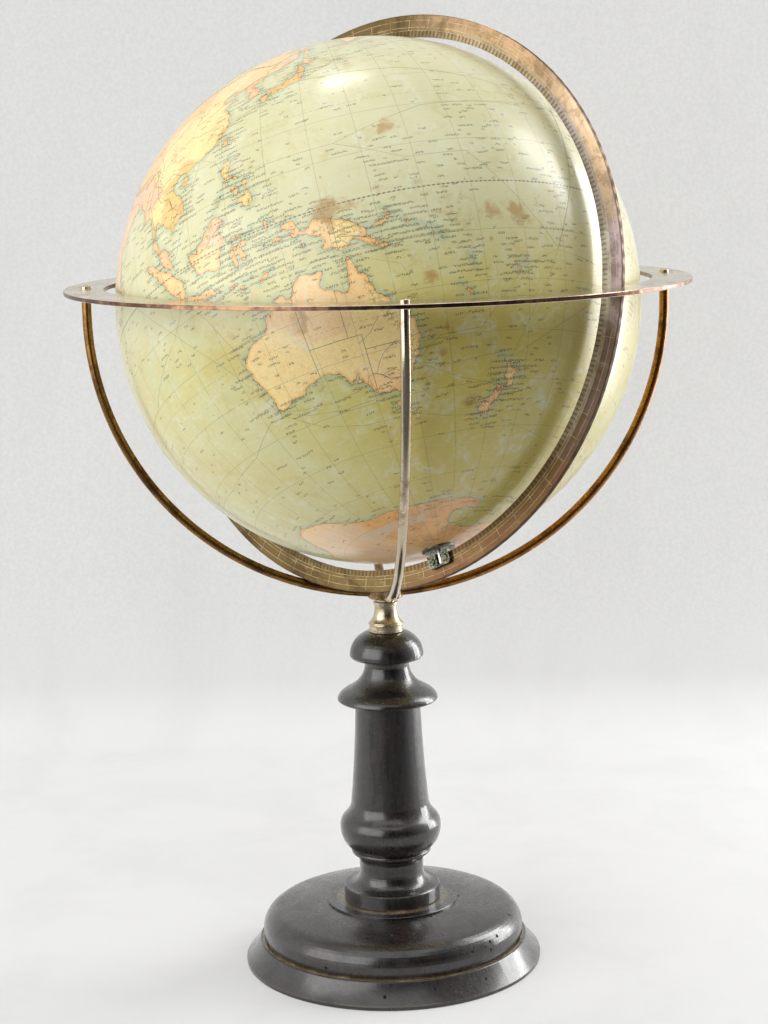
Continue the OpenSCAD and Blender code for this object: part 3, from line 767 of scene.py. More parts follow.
    "eurasia": """190.3,66.1 187.5,64.4 182,65.2 179,64.6 177.5,62.9 180,62.4 179,62.2 174,61.7
    170.3,60 166,60.2 163.4,59.6 162,58 163,56.3 161.8,54.9 160,53.1 158.4,52.2 156.7,51
    155.9,53 155.6,56 156.9,57.9 159.8,59.8 161.9,60.4 163.9,61.8 164.5,62.5 160.2,61.8
    156.7,61.6 154.3,59.5 151,59.3 148.5,59.4 145,59.4 142,59 139,57.5 135.2,54.8 137.5,53.7
    139.9,54.1 141.3,53.1 140.7,51.9 140.5,50.3 140.4,48.5 138.5,46.5 136.5,45 134.5,43.3
    132.3,43.2 130.9,42.5 129.8,41.5 129.5,40.7 127.8,40 127.5,39.3 128.4,38.5 129.4,37
    129.4,35.6 128.3,34.8 126.6,34.4 126.4,35.6 126.5,36.8 126.7,37.5 125.2,37.8 125.1,39.4
    124.3,39.9 122.8,39.6 121.2,38.8 121.8,40.4 121.2,40.9 119.5,39.8 118,39.1 118.3,38.1
    119.2,37.3 120.8,37.8 122.5,37.3 121,36.6 119.7,35.7 119.3,34.9 120.4,34 121,32.5
    121.9,31.7 121,30.6 121.9,29.6 121.4,28.3 120.5,27.1 119.6,25.7 118.4,24.5 117,23.5
    115,22.7 113.7,22.3 111.9,21.7 110.5,21.2 110.3,20.4 109.8,21.5 108.3,21.6 107,20.9
    105.8,19.5 105.9,18.4 107.2,16.9 108.4,16 109.2,13.9 109.3,12 107.8,10.7 106.7,10.3
    105.3,8.7 104.8,10.1 103.5,10.6 102.6,12 101,12.7 100.8,13.4 100,13.3 99.6,11.7 99.3,9.8
    100.3,8.4 100.6,7.2 101.8,6.7 103,5.6 103.4,4 104.2,1.4 103.5,1.3 101.3,2.9 100.6,4.4
    100.3,6 99,7.8 98.3,8.2 98.6,10.3 98.7,12.5 98,14.5 97.6,16.3 96.2,16.4 95.4,15.8 94.3,16
    94.5,18 93.8,19.8 92.3,21 91.8,22.5 90.5,22.2 89,21.8 87.3,21.5 86.8,20.6 85.2,19.6
    82.4,16.9 80.4,15.7 80.1,13.5 79.9,11.7 79.5,10.2 78.9,9.3 77.6,8.1 76.4,9.9 75,12.5
    73.7,16 72.9,18.8 72.8,20.9 72,21.1 70.5,20.8 69.1,22.2 70,22.9 67.5,23.9 66.6,25.2
    62,25.2 58.5,25.5 57,27 54.5,26.6 52,27.8 50.5,29.9 48,30.1 48.6,28.2 50.1,26.6 51.3,26
    51.5,24.6 54,24.1 56.2,26.1 56.6,24.2 59.8,22.4 57.7,19 55,17.1 52,15.6 48.7,14.1 45,12.8
    43.5,12.7 42.7,15.5 41,18.5 39.1,21.3 37.2,24.8 35.1,28 34.9,29.5 34.2,27.9 32.7,29.9
    32.6,31.2 34.3,31.3 35.6,33.8 35.9,36 34.2,36.5 32.4,36.1 30.6,36.8 28.2,36.7 26.5,38.3
    26.2,40 29,41.1 31.5,41.3 35,42 38.5,40.9 41.5,41.5 39.2,43.7 37.2,44.9 38.5,47.1
    35.2,46.4 36.5,45.3 33.5,44.5 32.8,45.7 31,46.6 29.5,45.2 28,43.5 28.1,41.6 26.3,40.8
    23.9,40.6 22.9,39 24,37.7 22.8,36.5 21.3,37.6 19.4,40.3 19.4,42 16,43.5 13.7,45.5
    12.4,44.6 14,42.5 16.1,41.7 18.4,40 16.9,40.5 17.1,39.2 16,38 15.7,40 13,41.2 10.4,42.9
    8.8,44.4 6.5,43.2 3.2,43.2 3,41.8 0.5,40.6 -0.2,39 -0.8,37.7 -2.2,36.8 -5.4,36.1 -6.5,37
    -8.9,37 -9.4,38.8 -8.8,41.5 -9.2,43.2 -5.8,43.6 -1.8,43.4 -1.2,45.5 -2.8,47.4 -4.6,48.2
    -1.6,48.7 -1.7,49.6 0.2,49.6 1.6,50.8 4,51.9 5,53.3 8.2,53.8 8.2,56 9.5,57.2 10.6,57.6
    10.4,56 10.3,54.5 12.2,54.3 14.3,54 18.5,54.7 21,55.2 21.3,57.3 23.9,57.2 23.6,58.8
    28,59.6 30.2,59.9 28.3,60.6 23,60 21.4,61.4 21.8,63 25.3,65 22.2,65.8 21,64.5 17.6,62
    17.2,60.7 18.7,59.5 16.6,57.8 15.9,56.2 14.2,55.4 12.9,55.5 11.5,58.2 10.6,59.3 8,58.1
    5.5,59 5,61.5 8.5,63.6 12.5,66 14.5,68.2 18.5,69.7 25.7,71 30.5,70.3 37,68.8 41,67.2
    38.5,66.1 34,66.8 35,64.4 38,64.3 40.3,64.6 42.5,66.3 44.2,68 46.5,67.9 54,68.5 60.5,69
    66.8,69.2 67,71 68.5,72.8 72.8,72.8 72,69 74.8,69.2 74.5,72.5 80.5,73.6 87,75 98,76.3
    104.3,77.7 113,75.8 110.5,74 118,73.2 127,73 129.5,71.3 140,72.5 150,71.5 160,69.7
    170,69.8 176,69.6 180.5,68.9 185,67""",
    "africa": """32.4,31.1 29,30.9 25,31.6 20.1,31.6 19.9,30.4 15.5,32.3 11,33.5 10.8,36.9 5,36.8
    -2,35.1 -5.9,35.8 -6.8,34 -9.7,31.4 -9.9,29.8 -13,27.8 -16,24.5 -17,21 -16.3,18
    -17.4,14.7 -16.7,12.4 -13.5,9.6 -11.5,6.9 -7.6,4.4 -2,4.8 1.5,6.2 4.5,6.3 6.5,4.3 9,4.2
    9.8,2.5 9.4,0 9.2,-1.2 11.2,-3.6 12.2,-6 13.4,-9.5 12.5,-13.5 11.8,-17.5 14.5,-22.5
    15.4,-27 18.2,-31.8 18.4,-34.2 20,-34.8 25.8,-34 29,-32.1 31.4,-29.3 32.8,-26 35.5,-24
    34.8,-20 38,-17.3 40.7,-15 40.5,-10.8 39.4,-7.5 38.8,-6.2 40.2,-2.7 42,-1 46,2.5 49.3,7.2
    51.2,11.8 47.5,11.2 43.4,11.4 43.1,12.6 40,15 37.3,19 37.1,21 35.5,24 33.4,28 32.5,29.9""",
    "madagascar": """49.3,-12 50.4,-15.7 48.9,-19 47.2,-25 45.2,-25.5 43.6,-23.3 43.4,-21.8
    44.4,-20 44.3,-16.5 46.5,-15.7 48,-13.6""",
    "ceylon": "79.9,9.7 81.2,8.6 81.8,7 80.6,6 79.9,7.5",
    "britain": """-5.6,50.1 -3,50.6 1.3,51.2 1.7,52.7 0.2,53.2 -1.4,54.8 -2,57.5 -3.2,58.6
    -5,58.6 -5.8,56.5 -4.8,55 -3.2,54.2 -4.4,53.3 -4.8,51.8 -3.2,51.3""",
    "ireland": "-6.2,53.5 -6.3,52.2 -9.8,51.6 -9.9,53.6 -8.3,55 -6,55.1",
    "iceland": "-22.5,64 -18.5,63.4 -14.6,64.5 -16.2,66.3 -20.5,66 -22.5,66.4 -24.2,65.5 -22,64.9",
    "north_america": """-168,65.6 -162,66.4 -166.3,68.3 -156.5,71.3 -141,69.7 -134,69.6 -127,70.3
    -120,69.4 -114.5,68.2 -108,68 -101,67.8 -95.5,68.5 -94.3,71.9 -91.5,69.5 -86,67.5
    -81.5,69.3 -81.5,67 -86.5,66 -91,63.5 -94.6,60.5 -94.2,58.8 -92.3,57 -85,55.3 -82.2,52.9
    -80,51.3 -78.9,52.5 -79.5,54.8 -76.8,57 -78.3,59 -77.5,62.4 -73.5,62.2 -69.6,61
    -69.6,58.9 -65.5,59.5 -64.5,60.3 -61.5,57 -57,53.6 -56,51.5 -60,50.2 -66.5,50.2
    -70.3,47.2 -65,49.2 -64.5,47.8 -64.6,46.3 -61,45.5 -65.6,43.6 -66.7,45 -70.2,43.6
    -70.8,42.2 -70,41.7 -74,40.6 -75.4,38 -76,36.9 -75.6,35.2 -78.5,33.8 -81.3,31.5
    -80.1,26.8 -80.8,25.2 -82,27 -82.9,29.3 -84.5,30 -89.2,30.3 -90,29.1 -94,29.5 -97.2,27.6
    -97.6,22.5 -96,19.1 -94.3,18.2 -91.2,18.6 -90.4,21.1 -87,21.4 -87.9,18.3 -88.5,15.9
    -84,15.8 -83.4,14 -83.6,10.9 -81.5,8.9 -79.5,9.5 -77.3,8.6 -78.2,7.4 -80.2,8.3 -81.5,7.4
    -83.7,9 -85.8,10.5 -87.5,12.9 -92,14.4 -95,16.1 -99,16.7 -105.4,20.1 -105.9,22.6
    -109.3,25.8 -112.8,29.6 -114.7,31.6 -112,27.5 -110,23.2 -112.2,25.2 -115,28 -117.1,32.5
    -120.6,34.6 -122.5,37.7 -124.3,40.4 -124.1,43.5 -124.5,48.3 -122.8,49 -127.5,51.5
    -130.3,54.8 -134.5,58.2 -139.5,59.6 -146,60.5 -151.5,59.3 -151.2,61 -156,57.5 -164.5,54.6
    -160,56.4 -157.5,58.6 -162,58.8 -165,60.8 -164.8,62.8 -161,64.3 -166,64.5""",
    "baffin": """-64.5,66.4 -61.8,66.8 -68,69.5 -72,71.5 -80,73.7 -89,72.5 -85,70.2 -78,70
    -73.5,68.3 -73,65.2 -78,64.5 -72,62.8 -66,62""",
    "victoria": "-118,70 -105,69 -105,72.8 -117,73",
    "banks": "-125.5,71.4 -118,73 -123,74.4",
    "ellesmere": "-90,76.5 -78,76.4 -63,82.5 -80,83 -92,81.2 -86,79",
    "greenland": """-73,78.2 -60,81.8 -32,83.5 -18,80.5 -19,76.5 -22,72.5 -25,69.5 -39.5,65.5
    -43.5,60 -49.5,62 -53.5,67 -52,70.5 -58,75.5 -68,76.2""",
    "newfoundland": "-59.4,47.8 -55.5,51.5 -53,47.5 -55.8,46.9",
    "cuba": "-84.9,21.9 -82,23.1 -77.5,21.8 -74.2,20.2 -77.5,19.9 -78.3,20.8 -82,22.4",
    "hispaniola": "-74.4,18.5 -73.2,19.9 -69.9,19.7 -68.4,18.6 -71.5,17.8",
    "south_america": """-77.3,8.6 -75.5,10.6 -71.7,12.3 -71.4,11 -68.5,11.3 -62,10.6 -60,8.5
    -57,6 -51.5,4.3 -50,1.2 -48.5,-1 -44.3,-2.6 -39.5,-2.9 -35.2,-5.2 -34.9,-8 -39,-13
    -39.2,-17.8 -41,-22 -44.5,-23 -48.5,-25.8 -48.7,-28.4 -52.2,-32.5 -54.9,-34.9 -58.3,-34.2
    -57,-36.5 -62,-39 -65,-41 -63.7,-42.7 -65.5,-45 -67.5,-46.3 -65.8,-48 -69.1,-50.5
    -68.4,-52.4 -65.3,-54.7 -69,-55.3 -74,-52.5 -75.5,-48 -74.2,-44 -73.3,-40 -73.5,-37.2
    -71.6,-33 -71.4,-30 -70.3,-23.5 -70.3,-18.4 -76.2,-13.8 -79.7,-7.5 -81.3,-4.5 -80,-3
    -80.9,-1.2 -80,0.8 -78.8,1.8 -77.3,4 -77.4,6.5""",
    "novaya": "52,71 58,76 68,77 60,74 57,70.8",
    "spitsbergen": "11,79.5 20,80.5 27,80 17,76.6",
    "antarctica": """-180,-78.6 -165,-79.2 -155,-77.3 -145,-76 -135,-74.8 -120,-74 -105,-74.8
    -100,-72.6 -85,-73.2 -75,-73.5 -68,-72.5 -66,-67.5 -62,-64.6 -58,-63.5 -61,-66.5 -61,-71
    -60,-75 -50,-78 -35,-78 -27,-76 -20,-73.5 -10,-71 0,-70 15,-69.8 30,-69.4 38,-69.6 45,-68
    50,-67.1 57,-66.8 62,-65.5 68,-62 73,-59.8 80,-59.4 86,-60.4 93,-61.6 100,-64.2 106,-66
    112,-66.7 118,-67 124,-66.6 130,-67.1 138,-67.2 146,-67.6 155,-67.6 164,-68 172,-68.3
    179,-69.4 179,-71.6 171,-71.3 164,-71.6 160,-73.4 159,-75.6 163,-77.6 172,-78.2
    180,-78.6""",
}

# Lines printed over the map: paths as above, parted by upright strokes
INK: dict[PrintedLine, str] = {
    PrintedLine.BORDER: """129,-14.9 129,-31.6|129,-26 141,-26|138,-16.6 138,-26|141,-26 141,-38|
    141,-29 149,-29 151.4,-28.7 153.5,-28.2|141,-34 143.3,-34.8 144.8,-36.1 147.5,-36
    150,-37.5|141,-2.6 141,-9.1|141,-6.5 144,-7 147.8,-8.1|109.7,1.9 111.5,1 114,1.5
    115.2,2.8 117.6,4.1|100.1,6.4 102,6.2|98.9,10.2 99.4,12 98.3,15.5 97.5,18.5 100,20.2
    101.5,17.8 104.5,17.5 105.5,14.5|105.5,14.5 107.5,13 106,11 104.5,10.4|108,21.5
    105.3,23.3 101.5,21.8 97.7,24 98.7,27.5 97,28.4|88,27.9 92,27.3 97,28.4|81,30.2 84,28.6
    88,27.9|74,37 79,35 78.8,31.5 81,30.2|87.5,49 95,50 108,49.5 117,49.6 120,53 127,50
    131,47.8 134.8,48.4 131,45 130.6,42.5|124.3,40 126.8,41.7 129.9,42.7|61.5,35 66,37.5
    70,38 74,37|61,35 62,31 62.5,26|48,30 46,33 45,37.5 48.5,39.5|20,55 24,53 22,49 27,48
    29,45.3|7,51.5 7,47.5 10,47 14,48.5 19,50|3.2,42.6 -1.7,43.3|-7,37.2 -7,41.8 -8.8,41.9|
    -123,49 -95,49 -89,48 -83,45.5 -79,43.3 -71,45|-141,60.3 -141,69.7|-117,32.5 -106.5,31.8
    -103,29 -97.3,26|-58,-34 -57.6,-30.2 -54,-26 -58,-20|-58,-20 -65,-10.5 -70,-9.5 -70,-4.2
    -67,1.2 -60,5|-68.5,-52.3 -72,-45 -70,-33 -68.5,-24""",
    PrintedLine.RIVER: """139.3,-35.6 139.8,-34.2 142,-34.1 143.5,-35.2 146,-36 148,-36.1|
    142,-34.1 143.3,-32 145.5,-30 148.5,-28.5|143.4,-34.7 146,-34.3 148.5,-34.9|150.8,-23.4
    149,-24.5 147.5,-22|145.5,-23.5 143,-26 140,-27.6|121.8,31.6 118.5,31 116,29.8 112.5,30.3
    109.5,31 106.5,29.5 104,28.8 101,26.5 99.5,29 97,32.5|118.8,37.6 116,35.8 113,34.9
    110.3,35 111,39.5 107.5,40.7 105.5,37.5 103.5,36 100,34.5|106.5,9.8 105,11.8 106,14.5
    104.7,16.5 102.5,18 100.5,20.3 99,24 97.5,28|113.4,22.4 110.5,23.3 107.5,23.5 104.5,24.5|
    141,53 137,50.2 135,48.5 130.8,47.7 127.5,50 121.5,53.3|96.5,16.5 96.8,20 97.5,24
    96,27.5|95,16 95,20 95.5,24|90.5,22.5 88,25 83,25.5 79,29.5|90.5,23 91.5,26 95,27.8
    94,29.3 88,29.2 82,30.2|67.5,24 69,28 71,32.5 74.5,35.5 79.5,32|144.5,-3.9 142,-4.3
    141.3,-3.7|143,-8.4 141.5,-6.5|138.5,-1.7 138.2,-3|31,31.4 31.2,27 33,24 32,19.5 33,15
    31.8,10 31,4 33,1|12.4,-6 16,-3 18.5,1 24,1.5 26.5,-4 28,-9|6,4.5 5.5,8 0,14 -4,14 -8,12|
    36.3,-18.8 32,-16 28,-17.3 23,-16|72.5,67 69,62 75,60 82,56|82,71.5 86.5,66 90,60 93,56|
    126.5,72.5 124,67 129.5,62.5 118,60 108,55|-50,-0.5 -55,-2 -60,-3.2 -67,-2.8 -73.3,-4.4|
    -58.3,-34 -59.5,-31 -57.8,-27.3 -54.5,-25 -50,-20|-89.5,29.2 -91.2,31.5 -90,35.5
    -89.5,37.5 -91,40.5 -93.5,45|-135,69 -128,65 -121.5,61.5 -113.5,61.5|18.3,-28.6 20,-28.4
    24,-29.2|47.8,46 48.5,50 49,55.5 44,56.3 38,58|29.5,45.2 26,43.8 21,44.8 19,47.5
    13.5,48.6""",
    PrintedLine.ROUTE: """115.1,-34.9 113,-30 108,-22 98,-10 88,0 81.5,5.5|115.1,-35.2 122,-36.6
    130,-37.4 137,-36.6 138,-35.7|115.3,-35.4 122,-38 131,-39.5 139,-39.3 144.6,-38.4|
    115.1,-35.6 124,-41.5 135,-44 146.5,-44.3|112,-36 100,-41 80,-43 60,-42 40,-39 19,-34.6|
    153.3,-28 154.6,-20 152.5,-14.5 146,-12 142.6,-10.4|142.2,-10.5 136,-9.6 130.9,-12|
    151.4,-33.9 160,-35.5 172.6,-34.3 174.9,-36.6|151.4,-34 162,-38.5 173.5,-41.2|147.2,-43.8
    157,-46 167,-47|169,-46.8 180,-50 200,-54 240,-57 284,-56|151.4,-33.8 158,-29.5 167.9,-29
    175,-22 178.3,-18.3|178.6,-17.9 188,-14 195,0 202,21 215,36 236.5,48.4|174.9,-36.6
    184.5,-21 188.3,-14 196,2 202.1,21 218,33 237.4,37.7|202,21.5 185,27.5 165,32.5 140,34.8|
    237,38 218,46 195,50.5 172,48 150,40 141,35.3|114.3,22.2 118.5,19.5 120.6,14.6|114.5,22.1
    120,28 130,31.3 136,33.2|114,22 110.5,12 104.3,1.3|104.2,1.2 106.6,-3.5 106.2,-5.8
    104.8,-6.3 98,-12 78,-20 57.5,-20.2 48,-27 32,-30.5|95,5.9 88,5.9 81.7,5.8|80.4,5.8 66,10
    51.5,12.2 45,12.4|105.2,-7 109,-12 112.5,-20 113.3,-26|144.8,13.4 158.2,6.9 171,7
    188.3,-13.7|121,14.2 133,13.5 144.8,13.4 165,19.5 202,21.2|287.5,-33 260,-28 220,-20
    211,-17.5 188.5,-14|210.5,-17.4 195,-26 176,-35.5|-5.6,48.5 -20,49.5 -40,46.5 -52.5,46.5
    -68,42 -73.8,40.5|-10,43 -17,28 -25,15 -32,-5 -37,-18 -43,-23.2|-17.8,14.8 -8,-2 6,-20
    18,-34|-73.8,40.3 -74,22 -76,18.3 -79.6,9.6""",
}

# Mountain chains, drawn as brown hachures: paths parted by upright strokes
RIDGES = """145,-16.5 145.5,-20 148,-24 151,-28 151.5,-31 149,-35 147,-37|168,-45 170,-43.5
172.5,-42 175.5,-39.3 176.5,-38.5|134,-1.2 133,-2.8|136,-3.8 139,-4.3 142,-5.2 145,-6 147.5,-8.5
149.5,-9.8|96,4.5 99,1.5 101,-1.5 104,-5|107,-7 112,-7.8|110,1 114,2.3 116.5,5.8|120.3,-1
120.5,-3|121,16.5 121.2,18|125.5,7.5 125.5,9|130.8,32.5 134,34.8 137.5,36 140,38 141,40|142.8,43|
73,37 78,34.5 83,30 88,27.8 94,28.5 98,28.5 100,25 101,22|75,40 82,42 90,43|78,36 86,36.5 94,36
100,37.5|88,50 96,51 108,52 118,56 130,57 138,61 150,63 160,66|103,32 104,28 108,26|116,26.5
118,28|111,37.5 115,40|128.5,42 127,40 128.7,37|104,17 106,15 108,13.5|45,42 41,43.3|7,45 11,46.7
15,47|60,52 59,58 61,64 65,67|15,67 9,62 7,60|37,9 36,3 30,-3 34,-10|29,-30 27.5,-32|-5,32 0,34
7,36|-150,63 -140,61 -130,57 -122,52 -115,46 -110,42 -106,38 -105,33 -103,26 -99,19 -92,15.5|
-119,36 -121,43 -122,48|-83,35 -78,39 -72,44|-75,5 -78,-1 -78,-8 -73,-14 -68,-18 -68,-25 -70,-33
-72,-42 -73,-49|168.5,-77 162,-75 165,-72 155,-80 -170,-86|-65,-66 -62,-64|-45,66|-30,70"""

# Longitude, latitude, reach in degrees and crowding of the small printed marks at sea
BUSY = """120,-3,14,1 130,-5,12,1 142,-9,9,.8 152,-6,10,1 160,-10,9,.8 167,-17,8,.8 178,-18,9,.9
188,-15,9,.8 171,8,10,.8 158,7,10,.7 146,15,7,.5 135,8,8,.5 201,21,8,.7 190,0,10,.6 208,-17,11,.8
220,-20,9,.6 150,-37,8,.7 155,-30,7,.6 152,-24,7,.7 113,-30,8,.7 116,-36,6,.8 116,-20,7,.7
175,-41,11,.9 168,-46,8,.8 137,-37,6,.6 145,-41,7,.8 125,10,10,.9 122,26,8,.8 130,31,8,.8
141,38,8,.8 110,14,8,.8 103,7,8,.8 97,5,7,.7 95,13,7,.6 80,8,7,.7 150,46,8,.6 143,24,7,.5
166,-30,7,.5 175,-29,6,.5 -62,17,10,.9 -75,24,8,.7 20,38,9,.6 -17,30,7,.5 60,-20,9,.6 55,-6,8,.6
73,5,6,.6 95,-12,6,.4 -60,-52,7,.5 -90,0,5,.5 160,-68,8,.4"""

# Longitude, latitude and tint of each printed country: 0 yellow, 1 peach, 2 rose, 3 orange
TINTS = """122,-26,0 130,-17,1 135,-20,1 135,-30,0 145,-23,0 143,-16,1 146,-32,0 145,-37,1
146,-42,1 137,-4,1 144,-5,0 148,-8,1 150,-6,1 160,-9,1 172,-42,1 175,-38,0 166,-21,3 178,-18,2
101,0,1 110,-7,1 113,-1,1 115,4,2 121,-2,1 125,-9,3 122,12,0 125,8,0 121,17,0 121,24,3 104,14,3
107,18,3 100,15,0 96,21,2 102,4,2 110,20,3 110,30,0 117,33,0 105,35,0 115,26,0 103,26,0 90,32,3
85,40,3 103,46,3 120,47,0 127,45,1 127,38,2 136,36,3 143,43,3 131,33,3 142,50,1 135,58,1 120,64,1
100,60,1 80,62,1 60,60,1 40,56,1 78,22,2 73,30,2 88,25,2 65,33,0 54,32,3 45,24,0 44,33,3 33,39,3
30,27,0 18,28,1 5,28,2 0,15,2 20,10,0 30,15,1 38,9,3 23,-2,3 36,-2,2 30,-12,0 18,-13,1 25,-25,2
18,-23,0 20,-32,2 47,-19,3 -4,40,0 2,47,2 10,51,3 13,43,1 16,47,0 22,44,3 15,62,2 27,63,0 -3,54,2
-19,65,0 -150,65,0 -110,58,2 -75,52,2 -100,40,1 -85,36,1 -115,38,1 -102,24,3 -88,15,0 -78,21,0
-66,7,3 -74,4,0 -76,-9,2 -52,-10,1 -45,-20,1 -65,-17,0 -65,-35,3 -71,-35,2 -57,-24,2 -42,72,1
95,-66,1 130,-80,3 150,-70,3 175,-70,3 0,-85,3"""

# Longitude, latitude, reach in degrees and strength of the brown stains in the varnish
STAINS = """156,15,2.6,.8 151,2,3,.6 159,1,2,.6 141,-1,4,.9 145,-1,3,.8 148,-1.5,2,.6 166,-5,9,.5
174,-6,3,.9 179,-7,4,.9 184,-5,3,.6 158,-18,2,.9 157,-21,1.4,.8 153,-23,2,.7 172,-12,.8,.9
128,-34,2,.6 160,-28,1.6,.8 158,-33,1.4,.7 154,-40,2.4,.6 164,-44,1.8,.9 155,-13,4,.45
112,-16,3,.5 118,-19,2,.5 124,-18,2,.4 129,-20,3,.6 137,-19,2,.5 131,13,6,.3 127,19,4,.3
149,41,9,.5 160,44,9,.5 129,-7,3,.4 191,-3,5,.4 120,-38,3,.3 100,-30,5,.25 210,-15,6,.5
230,10,7,.4 30,20,5,.5 -40,-20,6,.5 -20,30,5,.5 60,-45,6,.4 -90,20,5,.4 -120,-40,7,.4
150,-55,3,.4"""


def path_points(text: str) -> np.ndarray:
    """Longitudes and latitudes out of a typed path, one row a point."""
    return np.array([[float(v) for v in pair.split(",")] for pair in text.split()])


def ball_point(lon: np.ndarray, lat: np.ndarray, radius: float) -> np.ndarray:
    """Points of the ball in the row frame.

    Args:
        lon: Longitudes in degrees.
        lat: Latitudes in degrees.
        radius: Distance from the middle of the ball in metres.

    Returns:
        One row of x, y and z a point.
    """
    a, b = np.radians(np.asarray(lon) - FIRST_LON), np.radians(lat)
    unit = np.stack([np.cos(b) * np.cos(a), np.cos(b) * np.sin(a), np.sin(b)], -1)
    turn = np.array(POLAR_TURN.to_3x3())
    return radius * unit @ turn.T + np.array(CENTRE)


@dataclass
class MapSurvey:
    """Coast distances, tints, relief, crowding and stains on a grid of the whole earth."""

    step: float = 0.5
    reach: float = 5.0
    ridge_reach: float = 3.0
    # Keeps the rows of the grid off the typed corners of a coast
    off_corner: float = 1e-4

    def __post_init__(self) -> None:
        """Fills the grids. Rows run from the south pole, columns east from longitude 0."""
        self.lat = np.arange(-90, 90 + self.step / 2, self.step)
        self.lon = np.arange(0, 360, self.step)
        self.coast = self.coast_grid()
        self.relief = self.line_grid([path_points(text) for text in RIDGES.split("|")],
                                     self.ridge_reach)
        self.busy = self.blob_grid(BUSY)
        self.tint = self.tint_grid()
        self.stain = self.blob_grid(STAINS)

    def line_grid(self, paths: list[np.ndarray], reach: float) -> np.ndarray:
        """Distance in degrees to the nearest of some paths, up to a reach.

        Args:
            paths: Paths of longitude and latitude.
            reach: The greatest distance that is kept.

        Returns:
            The grid of distances.
        """
        found = np.full((len(self.lat), len(self.lon)), reach)
        for path in paths:
            for a, b in zip(path[:-1], path[1:]) if len(path) > 1 else [(path[0], path[0])]:
                self.mark_stretch(found, a, b, reach)
        return found

    def mark_stretch(self, found: np.ndarray, a: np.ndarray, b: np.ndarray, reach: float) -> None:
        """Lowers the grid's distances round one straight stretch.

        Args:
            found: The grid to lower.
            a: One end.
            b: The other end.
            reach: How far from the stretch the grid is looked at.
        """
        low = max(min(a[1], b[1]) - reach, -90)
        high = min(max(a[1], b[1]) + reach, 90)
        rows = np.arange(int((low + 90) / self.step), int((high + 90) / self.step) + 1)
        narrow = max(math.cos(math.radians(max(abs(low), abs(high)))), 0.06)
        wide = min(reach / narrow, 179)
        first, last = min(a[0], b[0]) - wide, max(a[0], b[0]) + wide
        if last - first >= 360:
            last = first + 360 - self.step
        columns = np.arange(math.floor(first / self.step), math.ceil(last / self.step) + 1)
        lat = self.lat[rows][:, None]
        shrink = np.cos(np.radians(lat)).clip(0.02)
        x, y = (columns * self.step)[None, :] * shrink, lat + 0 * columns[None, :]
        ax, bx = a[0] * shrink, b[0] * shrink
        dx, dy = bx - ax, b[1] - a[1]
        t = (((x - ax) * dx + (y - a[1]) * dy) / (dx * dx + dy * dy + 1e-12)).clip(0, 1)
        away = np.hypot(x - ax - t * dx, y - a[1] - t * dy)
        where = np.ix_(rows, columns % len(self.lon))
        found[where] = np.minimum(found[where], away)

    def coast_grid(self) -> np.ndarray:
        """Distance to the coast in degrees, positive on land and negative at sea."""
        shores, land = [], np.zeros((len(self.lat), len(self.lon)), bool)
        for name, text in LAND.items():
            points = path_points(text)
            if name == "antarctica":
                shores.append(points)
                points = np.vstack([points, [[180, -90], [-180, -90]]])
            else:
                points = np.vstack([points, points[:1]])
                shores.append(points)
            self.fill(land, points)
        away = self.line_grid(shores, self.reach)
        return np.where(land, away, -away)

    def fill(self, land: np.ndarray, ring: np.ndarray) -> None:
        """Marks the inside of one coast row by row.

        Args:
            land: The grid to mark.
            ring: The closed coast.
        """
        if (ring[0] != ring[-1]).any():
            ring = np.vstack([ring, ring[:1]])
        a, b = ring[:-1], ring[1:]
        for row, lat in enumerate(self.lat + self.off_corner):
            cut = (a[:, 1] > lat) != (b[:, 1] > lat)
            if not cut.any():
                continue
            p, q = a[cut], b[cut]
            at = np.sort(p[:, 0] + (lat - p[:, 1]) / (q[:, 1] - p[:, 1]) * (q[:, 0] - p[:, 0]))
            for west, east in zip(at[::2], at[1::2]):
                columns = np.arange(math.ceil(west / self.step), math.floor(east / self.step) + 1)
                land[row, columns % len(self.lon)] = True

    def spread(self, lon: float, lat: float) -> np.ndarray:
        """Distance in degrees from one place to the whole grid."""
        a, b = np.radians(self.lat)[:, None], math.radians(lat)
        turn = np.radians(self.lon - lon)[None, :]
        near = np.sin(a) * math.sin(b) + np.cos(a) * math.cos(b) * np.cos(turn)
        return np.degrees(np.arccos(near.clip(-1, 1)))

    def blob_grid(self, table: str) -> np.ndarray:
        """The strongest of some round blobs, 0 to 1.

        Args:
            table: Longitude, latitude, reach and strength of each blob.

        Returns:
            The grid.
        """
        found = np.zeros((len(self.lat), len(self.lon)))
        for text in table.split():
            lon, lat, reach, share = [float(v) for v in text.split(",")]
            found = np.maximum(found, share * np.exp(-(self.spread(lon, lat) / reach) ** 2))
        return found

    def tint_grid(self) -> np.ndarray:
        """The tint of the nearest country, 0 to 3."""
        nearest = np.full((len(self.lat), len(self.lon)), np.inf)
        tint = np.zeros_like(nearest)
        for text in TINTS.split():
            lon, lat, value = [float(v) for v in text.split(",")]
            away = self.spread(lon, lat)
            tint = np.where(away < nearest, value, tint)
            nearest = np.minimum(nearest, away)
        return tint

    def read(self, grid: np.ndarray, lon: np.ndarray, lat: np.ndarray) -> np.ndarray:
        """A grid's values at some places, which lie on its own points."""
        rows = np.rint((lat + 90) / self.step).astype(int).clip(0, len(self.lat) - 1)
        columns = np.rint(lon / self.step).astype(int) % len(self.lon)
        return grid[rows, columns]


